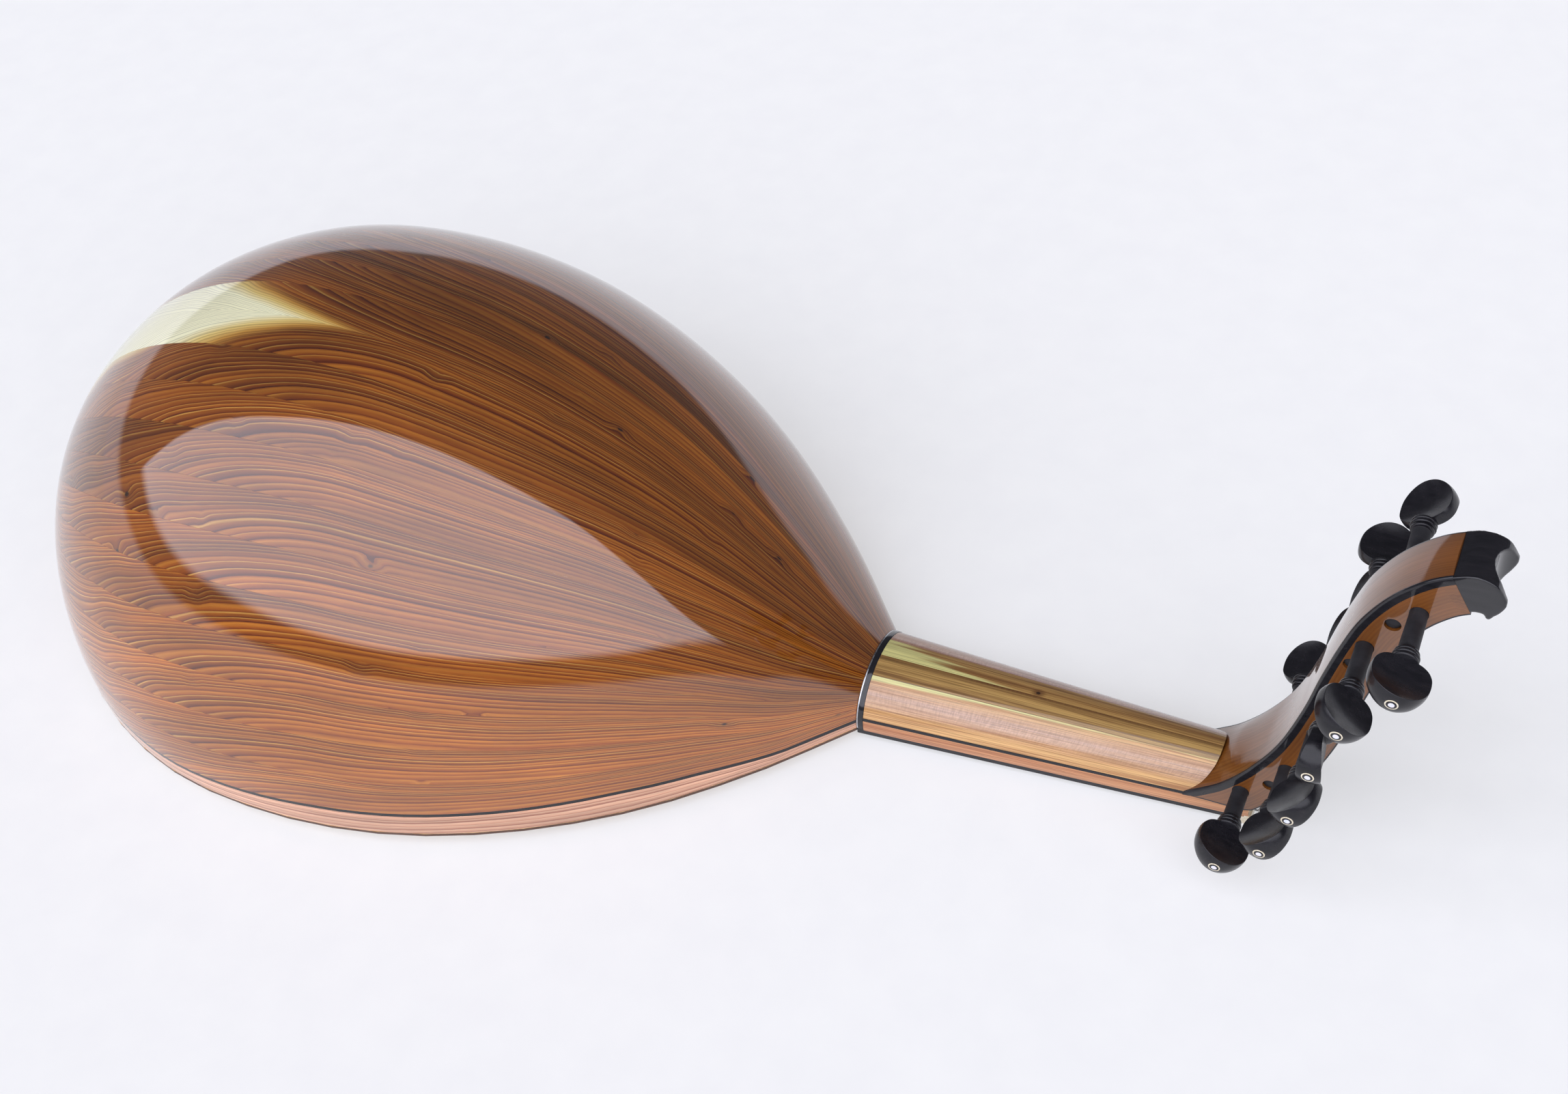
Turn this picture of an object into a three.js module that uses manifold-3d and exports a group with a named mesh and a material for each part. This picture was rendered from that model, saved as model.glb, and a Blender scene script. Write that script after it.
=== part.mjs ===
// An oud lying face down, resting on its bridge and its nut.
// Sizes are in millimetres. Each piece is drawn in the instrument's own frame: x runs from the
// tail to the pegbox, y runs across from the bass side to the treble side, and z runs from the
// soundboard's face towards the back of the bowl. The whole instrument is then tipped so that
// the bridge and the nut stand on one level, with the origin under the middle of the bridge.
import * as THREE from "three";
import { mergeVertices } from "three/addons/utils/BufferGeometryUtils.js";
import Module from "manifold-3d";

const wasm = await Module();
wasm.setup();

// Fits and cuts
const clearance = 0.3;
const cutOverrun = 8;
const mergeTolerance = 0.0001;

// Soundbox
const bodyLength = 485;
const bodyHalfWidth = 175.1;
const bodyDepth = 190.5;
const soundboardThickness = 1.8;
const ribThickness = 2.8;
const ribCount = 23;
const edgeRibWidth = 14.3;
const edgeRibTaperHalfWidth = 75;
const tailOpeningHalfWidth = 6;
const heelHalfWidth = 29.7;
const heelDepth = 27.2;
const tailBlockSteps = 3;
const neckBlockSteps = 2;
const mainRosetteRadius = 38;
const smallRosetteRadius = 17;
const smallRosetteSpread = 54;

// Neck and fingerboard
const heelRingThickness = 3.2;
const neckLength = 193;
const nutHalfWidth = 18.1;
const neckDepthAtNut = 27.4;
const fingerboardThickness = 4;
const fingerboardStand = 1.8;
const nutThickness = 4.5;
const nutStand = 2.6;
const nutOverhang = 1.2;

// Bridge and strings
const bridgeToNut = 584;
const bridgeHalfLength = 58;
const bridgeWidth = 15;
const bridgeTopWidth = 7;
const bridgeHeight = 9.5;
const stringHeightAtBridge = 5.5;
const stringTail = 5;
const bridgeCourseSpread = 41;
const nutCourseSpread = 13.6;
const bridgePairSpacing = 3.6;
const nutPairSpacing = 2.4;
const slotDepthOverString = 0.35;
const stringBend = 1.6;
const bassStringDiameter = 1.1;

// Pegbox
const pegboxRun = 125.3;
const pegboxRise = 189.5;
const pegboxDepth = 21;
const pegboxRootHalfWidth = 20.3;
const pegboxNarrowing = 0.0358;
const cheekThickness = 4.5;
const backPlateThickness = 3;
const tongueDepth = 8.7;
const notchRadius = 11.6;
const notchDepth = 8;

// Pegs
const pegRadius = 3.8;
const pegTaper = 1 / 60;
const pegTipRecess = 1;
const pegStand = 48.4;
const pegHeadRadius = 12.6;
const pegHeadHalfLength = 11.6;
const pegBeadRadius = 5.7;
const pegBeadPitch = 1.9;
const pegBeadCount = 3;
const pegDishRadius = 30;
const pegWebHalfThickness = 1.7;
const pegDishShift = 2.5;

// Shape of the soundboard's outline, as shares of the body's length and half width
const outlineShares = [
  [0.008, 0.19],
  [0.03, 0.354],
  [0.1, 0.617],
  [0.2, 0.835],
  [0.32, 0.968],
  [0.45, 1],
  [0.58, 0.954],
  [0.7, 0.837],
  [0.82, 0.645],
  [0.92, 0.409],
];
const heelBlendShare = 0.75;
const outlineSteps = 25;
const ribArcSteps = 1;

// Places along the soundboard, as shares of the body's length
const mainRosetteShare = 0.62;
const smallRosetteShare = 0.478;

// Course diameters from the bass to the treble, as shares of the bass string's diameter, and
// how many strings each course has
const courseDiameterShares = [1, 0.91, 0.82, 0.73, 0.64, 0.59];
const courseStrings = [1, 2, 2, 2, 2, 2];
const stringSides = 8;

// The pegbox's back in side view, as shares of its run and rise from the tip of its root
const backCurveShares = [
  [0, 0],
  [0.068, 0.033],
  [0.152, 0.082],
  [0.249, 0.168],
  [0.342, 0.285],
  [0.413, 0.432],
  [0.459, 0.562],
  [0.511, 0.69],
  [0.563, 0.787],
  [0.643, 0.878],
  [0.74, 0.948],
  [0.83, 0.987],
  [0.898, 1],
  [0.962, 0.985],
  [1, 0.945],
];
const backCurveSteps = 26;
const finialStartShare = 0.875;
const nutPlaceShare = 0.273;
const finialSteps = 6;

// The underside of the pegbox's ebony end, from the end of its back to the hook and on towards
// the cheeks, as shares of the pegbox's depth
const finialHookShares = [
  [0, -0.13],
  [-0.075, -0.31],
  [-0.19, -0.47],
  [-0.25, -0.565],
  [-0.32, -0.55],
  [-0.385, -0.452],
  [-0.585, -0.457],
];

// Pegs on each side: place along the pegbox's run and rise and length outside the pegbox, as
// shares, and how far the head is turned, in degrees
const bassPegShares = [
  [0.229, 0.073, 0.91, -25],
  [0.387, 0.203, 0.98, 38],
  [0.471, 0.364, 1, 42],
  [0.519, 0.537, 0.99, -88],
  [0.591, 0.705, 1, -36],
  [0.743, 0.851, 1, -17],
];
const treblePegShares = [
  [0.333, 0.128, 1, -25],
  [0.46, 0.299, 1, -55],
  [0.525, 0.466, 1, -55],
  [0.556, 0.638, 1.02, 5],
  [0.668, 0.798, 1.08, -35],
];
const pegSides = 12;
const headSegments = 12;
const headRings = 8;
const dishSegments = 20;
const dishRings = 10;

// Levels across the instrument's thickness
const rimLevel = soundboardThickness + clearance;
const fingerboardFace = -fingerboardStand;
const neckFace = fingerboardThickness - fingerboardStand + clearance;
const nutTop = fingerboardFace - nutStand;
const bridgeTop = -bridgeHeight;

// Places along the instrument
const ringStart = bodyLength + clearance;
const neckStart = ringStart + heelRingThickness + clearance;
const nutStart = bodyLength + neckLength;
const nutEnd = nutStart + nutThickness;
const bridgeCentre = nutStart - bridgeToNut;

// The floor line runs from the bridge's top to the nut's top
const tilt = Math.atan2(nutTop - bridgeTop, nutStart + nutThickness / 2 - bridgeCentre);
const floorLevel = (x) => bridgeTop + (x - bridgeCentre) * Math.tan(tilt);

const finish = (color, roughness, metalness = 0) =>
  new THREE.MeshStandardMaterial({ color, roughness, metalness });
const yewHeartwood = finish(0xa65a24, 0.16);
const yewEdge = finish(0xc98a5c, 0.18);
const spruce = finish(0xe0b878, 0.5);
const paleWood = finish(0xd9b98a, 0.7);
const neckWood = finish(0xb08a4e, 0.35);
const pegboxWood = finish(0xa5602e, 0.2);
const ebony = finish(0x16161c, 0.35);
const walnut = finish(0x5a3620, 0.45);
const bone = finish(0xe9dfc6, 0.4);
const nylon = finish(0xd8d2c4, 0.3);
const woundSilver = finish(0xb9b9bd, 0.35, 0.8);

// A closed geometry as a solid that can be cut and joined
function solidOf(geometry) {
  const bare = geometry.clone();
  bare.deleteAttribute("normal");
  bare.deleteAttribute("uv");
  const merged = mergeVertices(bare, mergeTolerance);
  return new wasm.Manifold(
    new wasm.Mesh({
      numProp: 3,
      vertProperties: merged.attributes.position.array,
      triVerts: new Uint32Array(merged.index.array),
    }),
  );
}

function geometryOf(solid) {
  const mesh = solid.getMesh();
  const geometry = new THREE.BufferGeometry();
  geometry.setAttribute("position", new THREE.BufferAttribute(mesh.vertProperties, 3));
  geometry.setIndex(new THREE.BufferAttribute(mesh.triVerts, 1));
  return geometry;
}

// Turns a closed geometry's faces outwards, whichever way its sections run
function facingOut(points, faces) {
  let volume = 0;
  for (const [a, b, c] of faces) {
    volume += points[a].dot(new THREE.Vector3().crossVectors(points[b], points[c]));
  }
  const outward = volume < 0 ? faces.map(([a, b, c]) => [a, c, b]) : faces;
  const geometry = new THREE.BufferGeometry().setFromPoints(points);
  geometry.setIndex(outward.flat());
  return geometry;
}

// A skin over a row of closed sections with equal point counts, capped at both ends
function loft(sections) {
  const count = sections[0].length;
  const points = sections.flat();
  const faces = [];
  for (let s = 0; s + 1 < sections.length; s++) {
    for (let i = 0; i < count; i++) {
      const a = s * count + i;
      const b = s * count + ((i + 1) % count);
      faces.push([a, b, b + count], [a, b + count, a + count]);
    }
  }
  const last = (sections.length - 1) * count;
  for (let i = 1; i + 1 < count; i++) {
    faces.push([0, i + 1, i], [last, last + i, last + i + 1]);
  }
  return facingOut(points, faces);
}

// A side-view outline of [x, z] points, carried across from y = from to y = to
function prism(outline, from, to) {
  const shape = new THREE.Shape(outline.map(([x, z]) => new THREE.Vector2(x, z)));
  const geometry = new THREE.ExtrudeGeometry(shape, { depth: to - from, bevelEnabled: false });
  geometry.rotateX(Math.PI / 2);
  geometry.translate(0, to, 0);
  return geometry;
}

// A block between two corners
function block(low, high) {
  const geometry = new THREE.BoxGeometry(high[0] - low[0], high[1] - low[1], high[2] - low[2]);
  geometry.translate((low[0] + high[0]) / 2, (low[1] + high[1]) / 2, (low[2] + high[2]) / 2);
  return geometry;
}

// A rod between two points, for cutting holes
function rodBetween(start, end, radius) {
  const geometry = new THREE.CylinderGeometry(radius, radius, start.distanceTo(end), pegSides);
  const direction = end.clone().sub(start).normalize();
  geometry.applyQuaternion(
    new THREE.Quaternion().setFromUnitVectors(new THREE.Vector3(0, 1, 0), direction),
  );
  const middle = start.clone().lerp(end, 0.5);
  geometry.translate(middle.x, middle.y, middle.z);
  return geometry;
}

const oud = new THREE.Group();

function add(name, geometry, material) {
  const mesh = new THREE.Mesh(geometry, material);
  mesh.name = name;
  oud.add(mesh);
  return mesh;
}

// Half of the soundboard's outline, from the middle of the tail to the neck joint
class HalfOutline extends THREE.Curve {
  constructor() {
    super();
    const side = outlineShares.map(
      ([along, across]) =>
        new THREE.Vector3(along * bodyLength, across * bodyHalfWidth, 0),
    );
    const mirrored = new THREE.Vector3(side[0].x, -side[0].y, 0);
    const heel = new THREE.Vector3(bodyLength, heelHalfWidth, 0);
    const points = [mirrored, new THREE.Vector3(), ...side, heel];
    this.whole = new THREE.CatmullRomCurve3(points, false, "centripetal");
    this.tailShare = 1 / (points.length - 1);
  }
  getPoint(share, target = new THREE.Vector3()) {
    return this.whole.getPoint(this.tailShare + share * (1 - this.tailShare), target);
  }
}
const halfOutline = new HalfOutline();
const outlineLength = halfOutline.getLength();
const outlineShareAt = (step) =>
  step === 0 ? tailOpeningHalfWidth / outlineLength : step / outlineSteps;

const bowlRatio = (bodyDepth - rimLevel) / bodyHalfWidth;
const heelRatio = (heelDepth - rimLevel) / heelHalfWidth;
function depthRatio(x) {
  const blend = Math.max(0, (x / bodyLength - heelBlendShare) / (1 - heelBlendShare));
  return bowlRatio + (heelRatio - bowlRatio) * blend * blend;
}

// A point on the outside of the bowl: share runs along the outline, angle from the bass rim
// over the back to the treble rim
function bowlPoint(share, angle) {
  const { x, y: halfWidth } = halfOutline.getPointAt(share);
  return new THREE.Vector3(
    x,
    -halfWidth * Math.cos(angle),
    rimLevel + depthRatio(x) * halfWidth * Math.sin(angle),
  );
}

// The same point moved into the bowl by a depth, square to the surface. At the neck joint it
// slides along the surface to stay in the joint's plane.
const shareStep = 0.002;
const angleStep = 0.01;
function insideBowl(share, angle, depth) {
  const point = bowlPoint(share, angle);
  const along = bowlPoint(Math.min(1, share + shareStep), angle);
  along.sub(bowlPoint(Math.max(0, share - shareStep), angle));
  const across = bowlPoint(share, angle + angleStep).sub(bowlPoint(share, angle - angleStep));
  const inward = across.cross(along).normalize();
  if (inward.dot(new THREE.Vector3(bodyLength / 2 - point.x, -point.y, -point.z)) < 0) {
    inward.negate();
  }
  point.addScaledVector(inward, depth);
  if (share === 1) {
    point.addScaledVector(along, (bodyLength - point.x) / along.x);
  }
  return point;
}

// The angle at which the edge rib ends and the main ribs begin
const edgeAngle = (halfWidth) => edgeRibWidth / Math.max(halfWidth, edgeRibTaperHalfWidth);

// A rib between two lines that give an angle for each half width
function ribBetween(startAngle, endAngle) {
  const sections = [];
  for (let step = 0; step <= outlineSteps; step++) {
    const share = outlineShareAt(step);
    const halfWidth = halfOutline.getPointAt(share).y;
    const trim = clearance / 2 / halfWidth;
    const from = startAngle(halfWidth) + trim;
    const to = endAngle(halfWidth) - trim;
    const section = [];
    for (let i = 0; i <= ribArcSteps; i++) {
      section.push(bowlPoint(share, from + ((to - from) * i) / ribArcSteps));
    }
    section.push(insideBowl(share, to, ribThickness));
    section.push(insideBowl(share, from, ribThickness));
    sections.push(section);
  }
  return loft(sections);
}

function addBowl() {
  const mainAngle = (index) => (halfWidth) => {
    const edge = edgeAngle(halfWidth);
    return edge + ((Math.PI - 2 * edge) * index) / ribCount;
  };
  add("edge_rib_bass", ribBetween(() => 0, mainAngle(0)), yewEdge);
  for (let i = 0; i < ribCount; i++) {
    const name = "rib_" + String(i + 1).padStart(2, "0");
    add(name, ribBetween(mainAngle(i), mainAngle(i + 1)), yewHeartwood);
  }
  add("edge_rib_treble", ribBetween(mainAngle(ribCount), () => Math.PI), yewEdge);
}

// A ring of points inside the bowl, on the inner faces of the ribs less a clearance
const seamAngles = (halfWidth) => {
  const edge = edgeAngle(halfWidth);
  const angles = [0];
  for (let i = 0; i <= ribCount; i++) {
    angles.push(edge + ((Math.PI - 2 * edge) * i) / ribCount);
  }
  return [...angles, Math.PI];
};
function ringInside(step) {
  const share = outlineShareAt(step);
  const angles = seamAngles(halfOutline.getPointAt(share).y);
  return angles.map((angle) => insideBowl(share, angle, ribThickness + clearance));
}

// The blocks fill the bowl's two ends. The tail block has a plug that closes the opening which
// the ribs leave round the middle of the tail.
function addBlocks() {
  const { x: tailStart, y: opening } = halfOutline.getPointAt(outlineShareAt(0));
  const plugRadius = opening - 2 * clearance;
  const plugRing = (x) =>
    seamAngles(opening).map(
      (angle) =>
        new THREE.Vector3(
          x,
          -plugRadius * Math.cos(angle),
          rimLevel + plugRadius * Math.sin(angle),
        ),
    );
  const tailRings = [plugRing(tailStart), plugRing(tailStart + ribThickness + clearance)];
  for (let step = 0; step <= tailBlockSteps; step++) tailRings.push(ringInside(step));
  add("tail_block", loft(tailRings), paleWood);

  const neckRings = [];
  for (let step = outlineSteps - neckBlockSteps; step <= outlineSteps; step++) {
    neckRings.push(ringInside(step));
  }
  add("neck_block", loft(neckRings), paleWood);
}

function circlePath(x, y, radius, segments) {
  const path = new THREE.Path();
  for (let i = 0; i < segments; i++) {
    const angle = (2 * Math.PI * i) / segments;
    const px = x + radius * Math.cos(angle);
    const py = y + radius * Math.sin(angle);
    if (i === 0) path.moveTo(px, py);
    else path.lineTo(px, py);
  }
  path.closePath();
  return path;
}

// A fretted disc has a ring of petals inside a ring of lozenges round an open eye. The shares
// give each hole's two ends along the radius, where its sides are widest, and half its width
// there as a share of the pitch.
const petalShares = [0.2, 0.52, [0.28, 0.44], 0.28];
const lozengeShares = [0.56, 0.86, [0.635, 0.785], 0.2];
const eyeShare = 0.12;
function fretHole([x, y], radius, count, place, shares) {
  const pitch = (2 * Math.PI) / count;
  const [inner, outer, [waist, shoulder], half] = shares;
  const at = (share, turn) => {
    const angle = pitch * (place + turn);
    return new THREE.Vector2(
      x + share * radius * Math.cos(angle),
      y + share * radius * Math.sin(angle),
    );
  };
  return new THREE.Path([
    at(inner, 0),
    at(waist, half),
    at(shoulder, half),
    at(outer, 0),
    at(shoulder, -half),
    at(waist, -half),
  ]);
}

function fretHoles(centre, radius, count) {
  const holes = [circlePath(...centre, radius * eyeShare, count)];
  for (let i = 0; i < count; i++) {
    holes.push(fretHole(centre, radius, count, i, petalShares));
    holes.push(fretHole(centre, radius, count, i + 1 / 2, lozengeShares));
  }
  return holes;
}

// A board as thick as the soundboard, from an outline of [x, y] points, with holes through it
function pierced(outline, holes) {
  const slab = (points, from, to) => {
    const shape = new THREE.Shape(points);
    const geometry = new THREE.ExtrudeGeometry(shape, { depth: to - from, bevelEnabled: false });
    geometry.translate(0, 0, from);
    return solidOf(geometry);
  };
  let board = slab(outline, 0, soundboardThickness);
  for (const hole of holes) {
    const through = slab(hole.getPoints(), -cutOverrun, soundboardThickness + cutOverrun);
    board = board.subtract(through);
  }
  return geometryOf(board);
}

const mainRosettePlace = [mainRosetteShare * bodyLength, 0];
const smallRosetteX = smallRosetteShare * bodyLength;
const mainSegments = 32;
const mainPetals = 12;
const smallPetals = 8;

// The two small rosettes are cut in the soundboard itself, and the main one is a disc let in
function addSoundboard() {
  const edge = [];
  for (let step = 0; step <= outlineSteps; step++) {
    const { x, y } = halfOutline.getPointAt(step / outlineSteps);
    edge.push(new THREE.Vector2(x, y));
  }
  const other = edge.slice(1).map(({ x, y }) => new THREE.Vector2(x, -y)).reverse();
  const holes = [circlePath(...mainRosettePlace, mainRosetteRadius, mainSegments)];
  for (const sign of [-1, 1]) {
    const place = [smallRosetteX, sign * smallRosetteSpread];
    holes.push(...fretHoles(place, smallRosetteRadius, smallPetals));
  }
  add("soundboard", pierced([...edge, ...other], holes), spruce);
}

function addMainRosette() {
  const edgeRadius = (mainRosetteRadius - clearance) * Math.cos(Math.PI / mainSegments);
  const edge = circlePath(...mainRosettePlace, edgeRadius, mainSegments).getPoints();
  const holes = fretHoles(mainRosettePlace, mainRosetteRadius, mainPetals);
  add("rosette_main", pierced(edge, holes), walnut);
}

// A half-round section of the neck, on its flat face
const neckArcSteps = 16;
function neckHalfWidth(x) {
  return heelHalfWidth + ((nutHalfWidth - heelHalfWidth) * (x - bodyLength)) / neckLength;
}
function neckSection(x) {
  const halfWidth = neckHalfWidth(x);
  const depth = heelDepth + ((neckDepthAtNut - heelDepth) * (x - bodyLength)) / neckLength;
  const section = [];
  for (let i = 0; i <= neckArcSteps; i++) {
    const angle = (Math.PI * i) / neckArcSteps;
    section.push(
      new THREE.Vector3(
        x,
        -halfWidth * Math.cos(angle),
        neckFace + (depth - neckFace) * Math.sin(angle),
      ),
    );
  }
  return section;
}

// The pegbox's back curve in side view, from the pointed tip of its root to its end
const rootTip = new THREE.Vector2(nutEnd - pegboxRun * nutPlaceShare, tongueDepth);
const backCurve = new THREE.SplineCurve(
  backCurveShares.map(
    ([along, up]) =>
      new THREE.Vector2(rootTip.x + along * pegboxRun, rootTip.y + up * pegboxRise),
  ),
);

// A point below the back curve, square to it, on the open side
function belowBack(share, depth) {
  const point = backCurve.getPointAt(share);
  const tangent = backCurve.getTangentAt(share);
  return [point.x + tangent.y * depth, point.y - tangent.x * depth];
}

// An outline between two depths below the back curve, from one share of it to another
function pegboxBand(fromShare, toShare, upper, lower, steps) {
  const top = [];
  const bottom = [];
  for (let step = 0; step <= steps; step++) {
    const share = fromShare + ((toShare - fromShare) * step) / steps;
    top.push(belowBack(share, upper));
    bottom.unshift(belowBack(share, lower));
  }
  return [...top, ...bottom];
}

// Half the pegbox's outside width, which narrows evenly as it rises
const pegboxHalfWidth = (z) => pegboxRootHalfWidth - pegboxNarrowing * z;

// Leans a piece drawn upright on the root's width to follow the narrowing side
function leanIn(geometry, sign) {
  const lean = new THREE.Matrix4();
  lean.elements[9] = -sign * pegboxNarrowing;
  geometry.applyMatrix4(lean);
  return geometry;
}

// Spreads a prism drawn from y = -1 to y = 1 out to the pegbox's sides
function spreadAcross(geometry) {
  const position = geometry.attributes.position;
  for (let i = 0; i < position.count; i++) {
    const sign = Math.sign(position.getY(i));
    position.setY(i, sign * pegboxHalfWidth(position.getZ(i)));
  }
  return geometry;
}

// Everything below the neck's tongue, for trimming the pegbox's root
const pegboxEnd = rootTip.x + pegboxRun;
const underTongue = () =>
  solidOf(
    block(
      [rootTip.x - pegboxRun, -bodyHalfWidth, tongueDepth - pegboxRise],
      [pegboxEnd, bodyHalfWidth, tongueDepth],
    ),
  );

function cheekSlab(outline, sign) {
  const faces = [sign * pegboxRootHalfWidth, sign * (pegboxRootHalfWidth - cheekThickness)];
  return leanIn(prism(outline, Math.min(...faces), Math.max(...faces)), sign);
}

// Where each peg stands: its axis in side view, its side and the turn of its head
function pegPlaces(side, sign, shares) {
  return shares.map(([along, up, stand, turn], index) => ({
    name: "peg_" + side + "_" + (index + 1),
    sign,
    x: rootTip.x + along * pegboxRun,
    z: rootTip.y + up * pegboxRise,
    stand: stand * pegStand,
    turn,
  }));
}
const pegs = [
  ...pegPlaces("bass", -1, bassPegShares),
  ...pegPlaces("treble", 1, treblePegShares),
];
const pegRadiusAt = (outward) => pegRadius + outward * pegTaper;

function addPegbox() {
  const plateSteps = backCurveSteps;
  const plateOutline = pegboxBand(0, finialStartShare, 0, backPlateThickness, plateSteps);
  const plate = spreadAcross(prism(plateOutline, -1, 1));
  add("pegbox_back", geometryOf(solidOf(plate).subtract(underTongue())), pegboxWood);

  const cheekOutline = pegboxBand(
    0,
    finialStartShare,
    backPlateThickness + clearance,
    pegboxDepth,
    plateSteps,
  );
  for (const [side, sign] of [["bass", -1], ["treble", 1]]) {
    let cheek = solidOf(cheekSlab(cheekOutline, sign));
    cheek = cheek.subtract(underTongue());
    for (const peg of pegs) {
      const outward = peg.sign === sign ? 0 : -2 * pegboxHalfWidth(peg.z);
      const radius = (pegRadiusAt(outward) + clearance) / Math.cos(Math.PI / pegSides);
      const reach = pegboxRootHalfWidth + cutOverrun;
      const hole = rodBetween(
        new THREE.Vector3(peg.x, 0, peg.z),
        new THREE.Vector3(peg.x, sign * reach, peg.z),
        radius,
      );
      cheek = cheek.subtract(solidOf(hole));
    }
    add("pegbox_cheek_" + side, geometryOf(cheek), pegboxWood);
  }
}

// The ebony end of the pegbox: its back follows the curve round, and its underside ends in a
// small hook. A scoop across the end leaves a horn at each side.
function addFinial() {
  const start = finialStartShare + clearance / backCurve.getLength();
  const back = [];
  for (let step = 0; step <= finialSteps; step++) {
    back.push(belowBack(start + ((1 - start) * step) / finialSteps, 0));
  }
  const [endX, endZ] = back[back.length - 1];
  const hook = finialHookShares.map(([along, up]) => [
    endX + along * pegboxDepth,
    endZ + up * pegboxDepth,
  ]);
  const outline = [...back, ...hook, belowBack(start, pegboxDepth)];
  const solid = solidOf(spreadAcross(prism(outline, -1, 1)));
  const scoopCentre = Math.max(...back.map(([x]) => x)) + notchRadius - notchDepth;
  const scoop = rodBetween(
    new THREE.Vector3(scoopCentre, 0, endZ - pegboxDepth),
    new THREE.Vector3(scoopCentre, 0, rootTip.y + pegboxRise + cutOverrun),
    notchRadius,
  );
  add("finial", geometryOf(solid.subtract(solidOf(scoop))), ebony);
}

function addNeck() {
  const ring = loft([neckSection(ringStart), neckSection(ringStart + heelRingThickness)]);
  add("heel_ring", ring, ebony);

  const neckEnd = nutEnd - nutOverhang;
  const whole = solidOf(loft([neckSection(neckStart), neckSection(neckEnd)]));
  const topOfNeck = Math.max(heelDepth, neckDepthAtNut) + cutOverrun;
  const seat = [[rootTip.x - 2 * clearance, rootTip.y - clearance]];
  for (let step = 0; step <= backCurveSteps; step++) {
    const [x, z] = belowBack(step / backCurveSteps, -clearance);
    if (z > topOfNeck) break;
    seat.push([x, z]);
  }
  seat.push([pegboxEnd, topOfNeck], [pegboxEnd, tongueDepth - clearance]);
  const cutter = solidOf(prism(seat, -bodyHalfWidth, bodyHalfWidth));
  add("neck", geometryOf(whole.subtract(cutter)), neckWood);

  const boardSection = (x) => {
    const half = neckHalfWidth(x);
    const inner = neckFace - clearance;
    return [
      new THREE.Vector3(x, -half, fingerboardFace),
      new THREE.Vector3(x, half, fingerboardFace),
      new THREE.Vector3(x, half, inner),
      new THREE.Vector3(x, -half, inner),
    ];
  };
  const board = loft([boardSection(ringStart), boardSection(nutStart - clearance)]);
  add("fingerboard", board, ebony);
}

// Every string: its diameter and its place across the bridge and across the nut
function stringPlaces() {
  const places = [];
  const last = courseDiameterShares.length - 1;
  courseDiameterShares.forEach((diameterShare, course) => {
    const diameter = diameterShare * bassStringDiameter;
    const across = (course / last) * 2 - 1;
    for (let i = 0; i < courseStrings[course]; i++) {
      const offset = courseStrings[course] === 1 ? 0 : i - 1 / 2;
      places.push({
        diameter,
        wound: course < 3,
        atBridge: across * bridgeCourseSpread + offset * bridgePairSpacing,
        atNut: across * nutCourseSpread + offset * nutPairSpacing,
      });
    }
  });
  return places;
}

// The outer strings go to the pegs nearest the nut, and the inner ones to those beyond
const strings = stringPlaces();
const outermostFirst = [...strings].sort((a, b) => Math.abs(b.atNut) - Math.abs(a.atNut));
const nearestFirst = [...pegs].sort((a, b) => a.z - b.z);
outermostFirst.forEach((string, index) => {
  string.peg = nearestFirst[index];
});

// A bent line whose steps fall on its own points
class BentLine extends THREE.Curve {
  constructor(points) {
    super();
    this.points = points;
  }
  getUtoTmapping(share) {
    return share;
  }
  getPoint(share, target = new THREE.Vector3()) {
    const place = Math.min(Math.max(share, 0), 1) * (this.points.length - 1);
    const index = Math.min(Math.floor(place), this.points.length - 2);
    return target.lerpVectors(this.points[index], this.points[index + 1], place - index);
  }
}

// The taut way in side view from a start to the front of a string's own peg, over the fronts
// of the pegs it passes: each bend lies on a circle a little wider than the peg
const frontArc = [-0.9, -0.6, -0.3, 0, 0.3, 0.6];
function tautWay(start, peg, radius) {
  const reach = pegRadius + clearance + radius;
  const onFront = ({ x, z }, angle) => [x + reach * Math.cos(angle), z + reach * Math.sin(angle)];
  const marks = frontArc.filter((angle) => angle <= 0).map((angle) => onFront(peg, angle));
  for (const other of pegs) {
    if (other.z < peg.z) marks.push(...frontArc.map((angle) => onFront(other, angle)));
  }
  const goal = onFront(peg, 0);
  const way = [start];
  while (way[way.length - 1][1] < goal[1]) {
    const [x, z] = way[way.length - 1];
    const slope = ([markX, markZ]) => (markX - x) / (markZ - z);
    const ahead = marks.filter((mark) => mark[1] > z && mark[1] <= goal[1]);
    way.push(ahead.reduce((best, mark) => (slope(mark) > slope(best) ? mark : best)));
  }
  return way;
}

function stringRoute({ diameter, atBridge, atNut, peg }) {
  const radius = diameter / 2;
  const level = nutTop + slotDepthOverString + radius;
  const atBridgeCentre = new THREE.Vector3(bridgeCentre, atBridge, -stringHeightAtBridge);
  const overNut = new THREE.Vector3(nutEnd, atNut, level);
  const back = atBridgeCentre.clone().sub(overNut).normalize();
  const tail = atBridgeCentre.clone().addScaledVector(back, bridgeWidth / 2 + stringTail);
  const way = tautWay([nutEnd + stringBend, level], peg, radius);
  const rise = peg.z - level;
  const atPeg = (atNut * pegboxHalfWidth(peg.z)) / pegboxHalfWidth(level);
  const across = (z) => THREE.MathUtils.lerp(atNut, atPeg, (z - level) / rise);
  const inPegbox = way.map(([x, z]) => new THREE.Vector3(x, across(z), z));
  return [tail, overNut, ...inPegbox];
}

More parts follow.
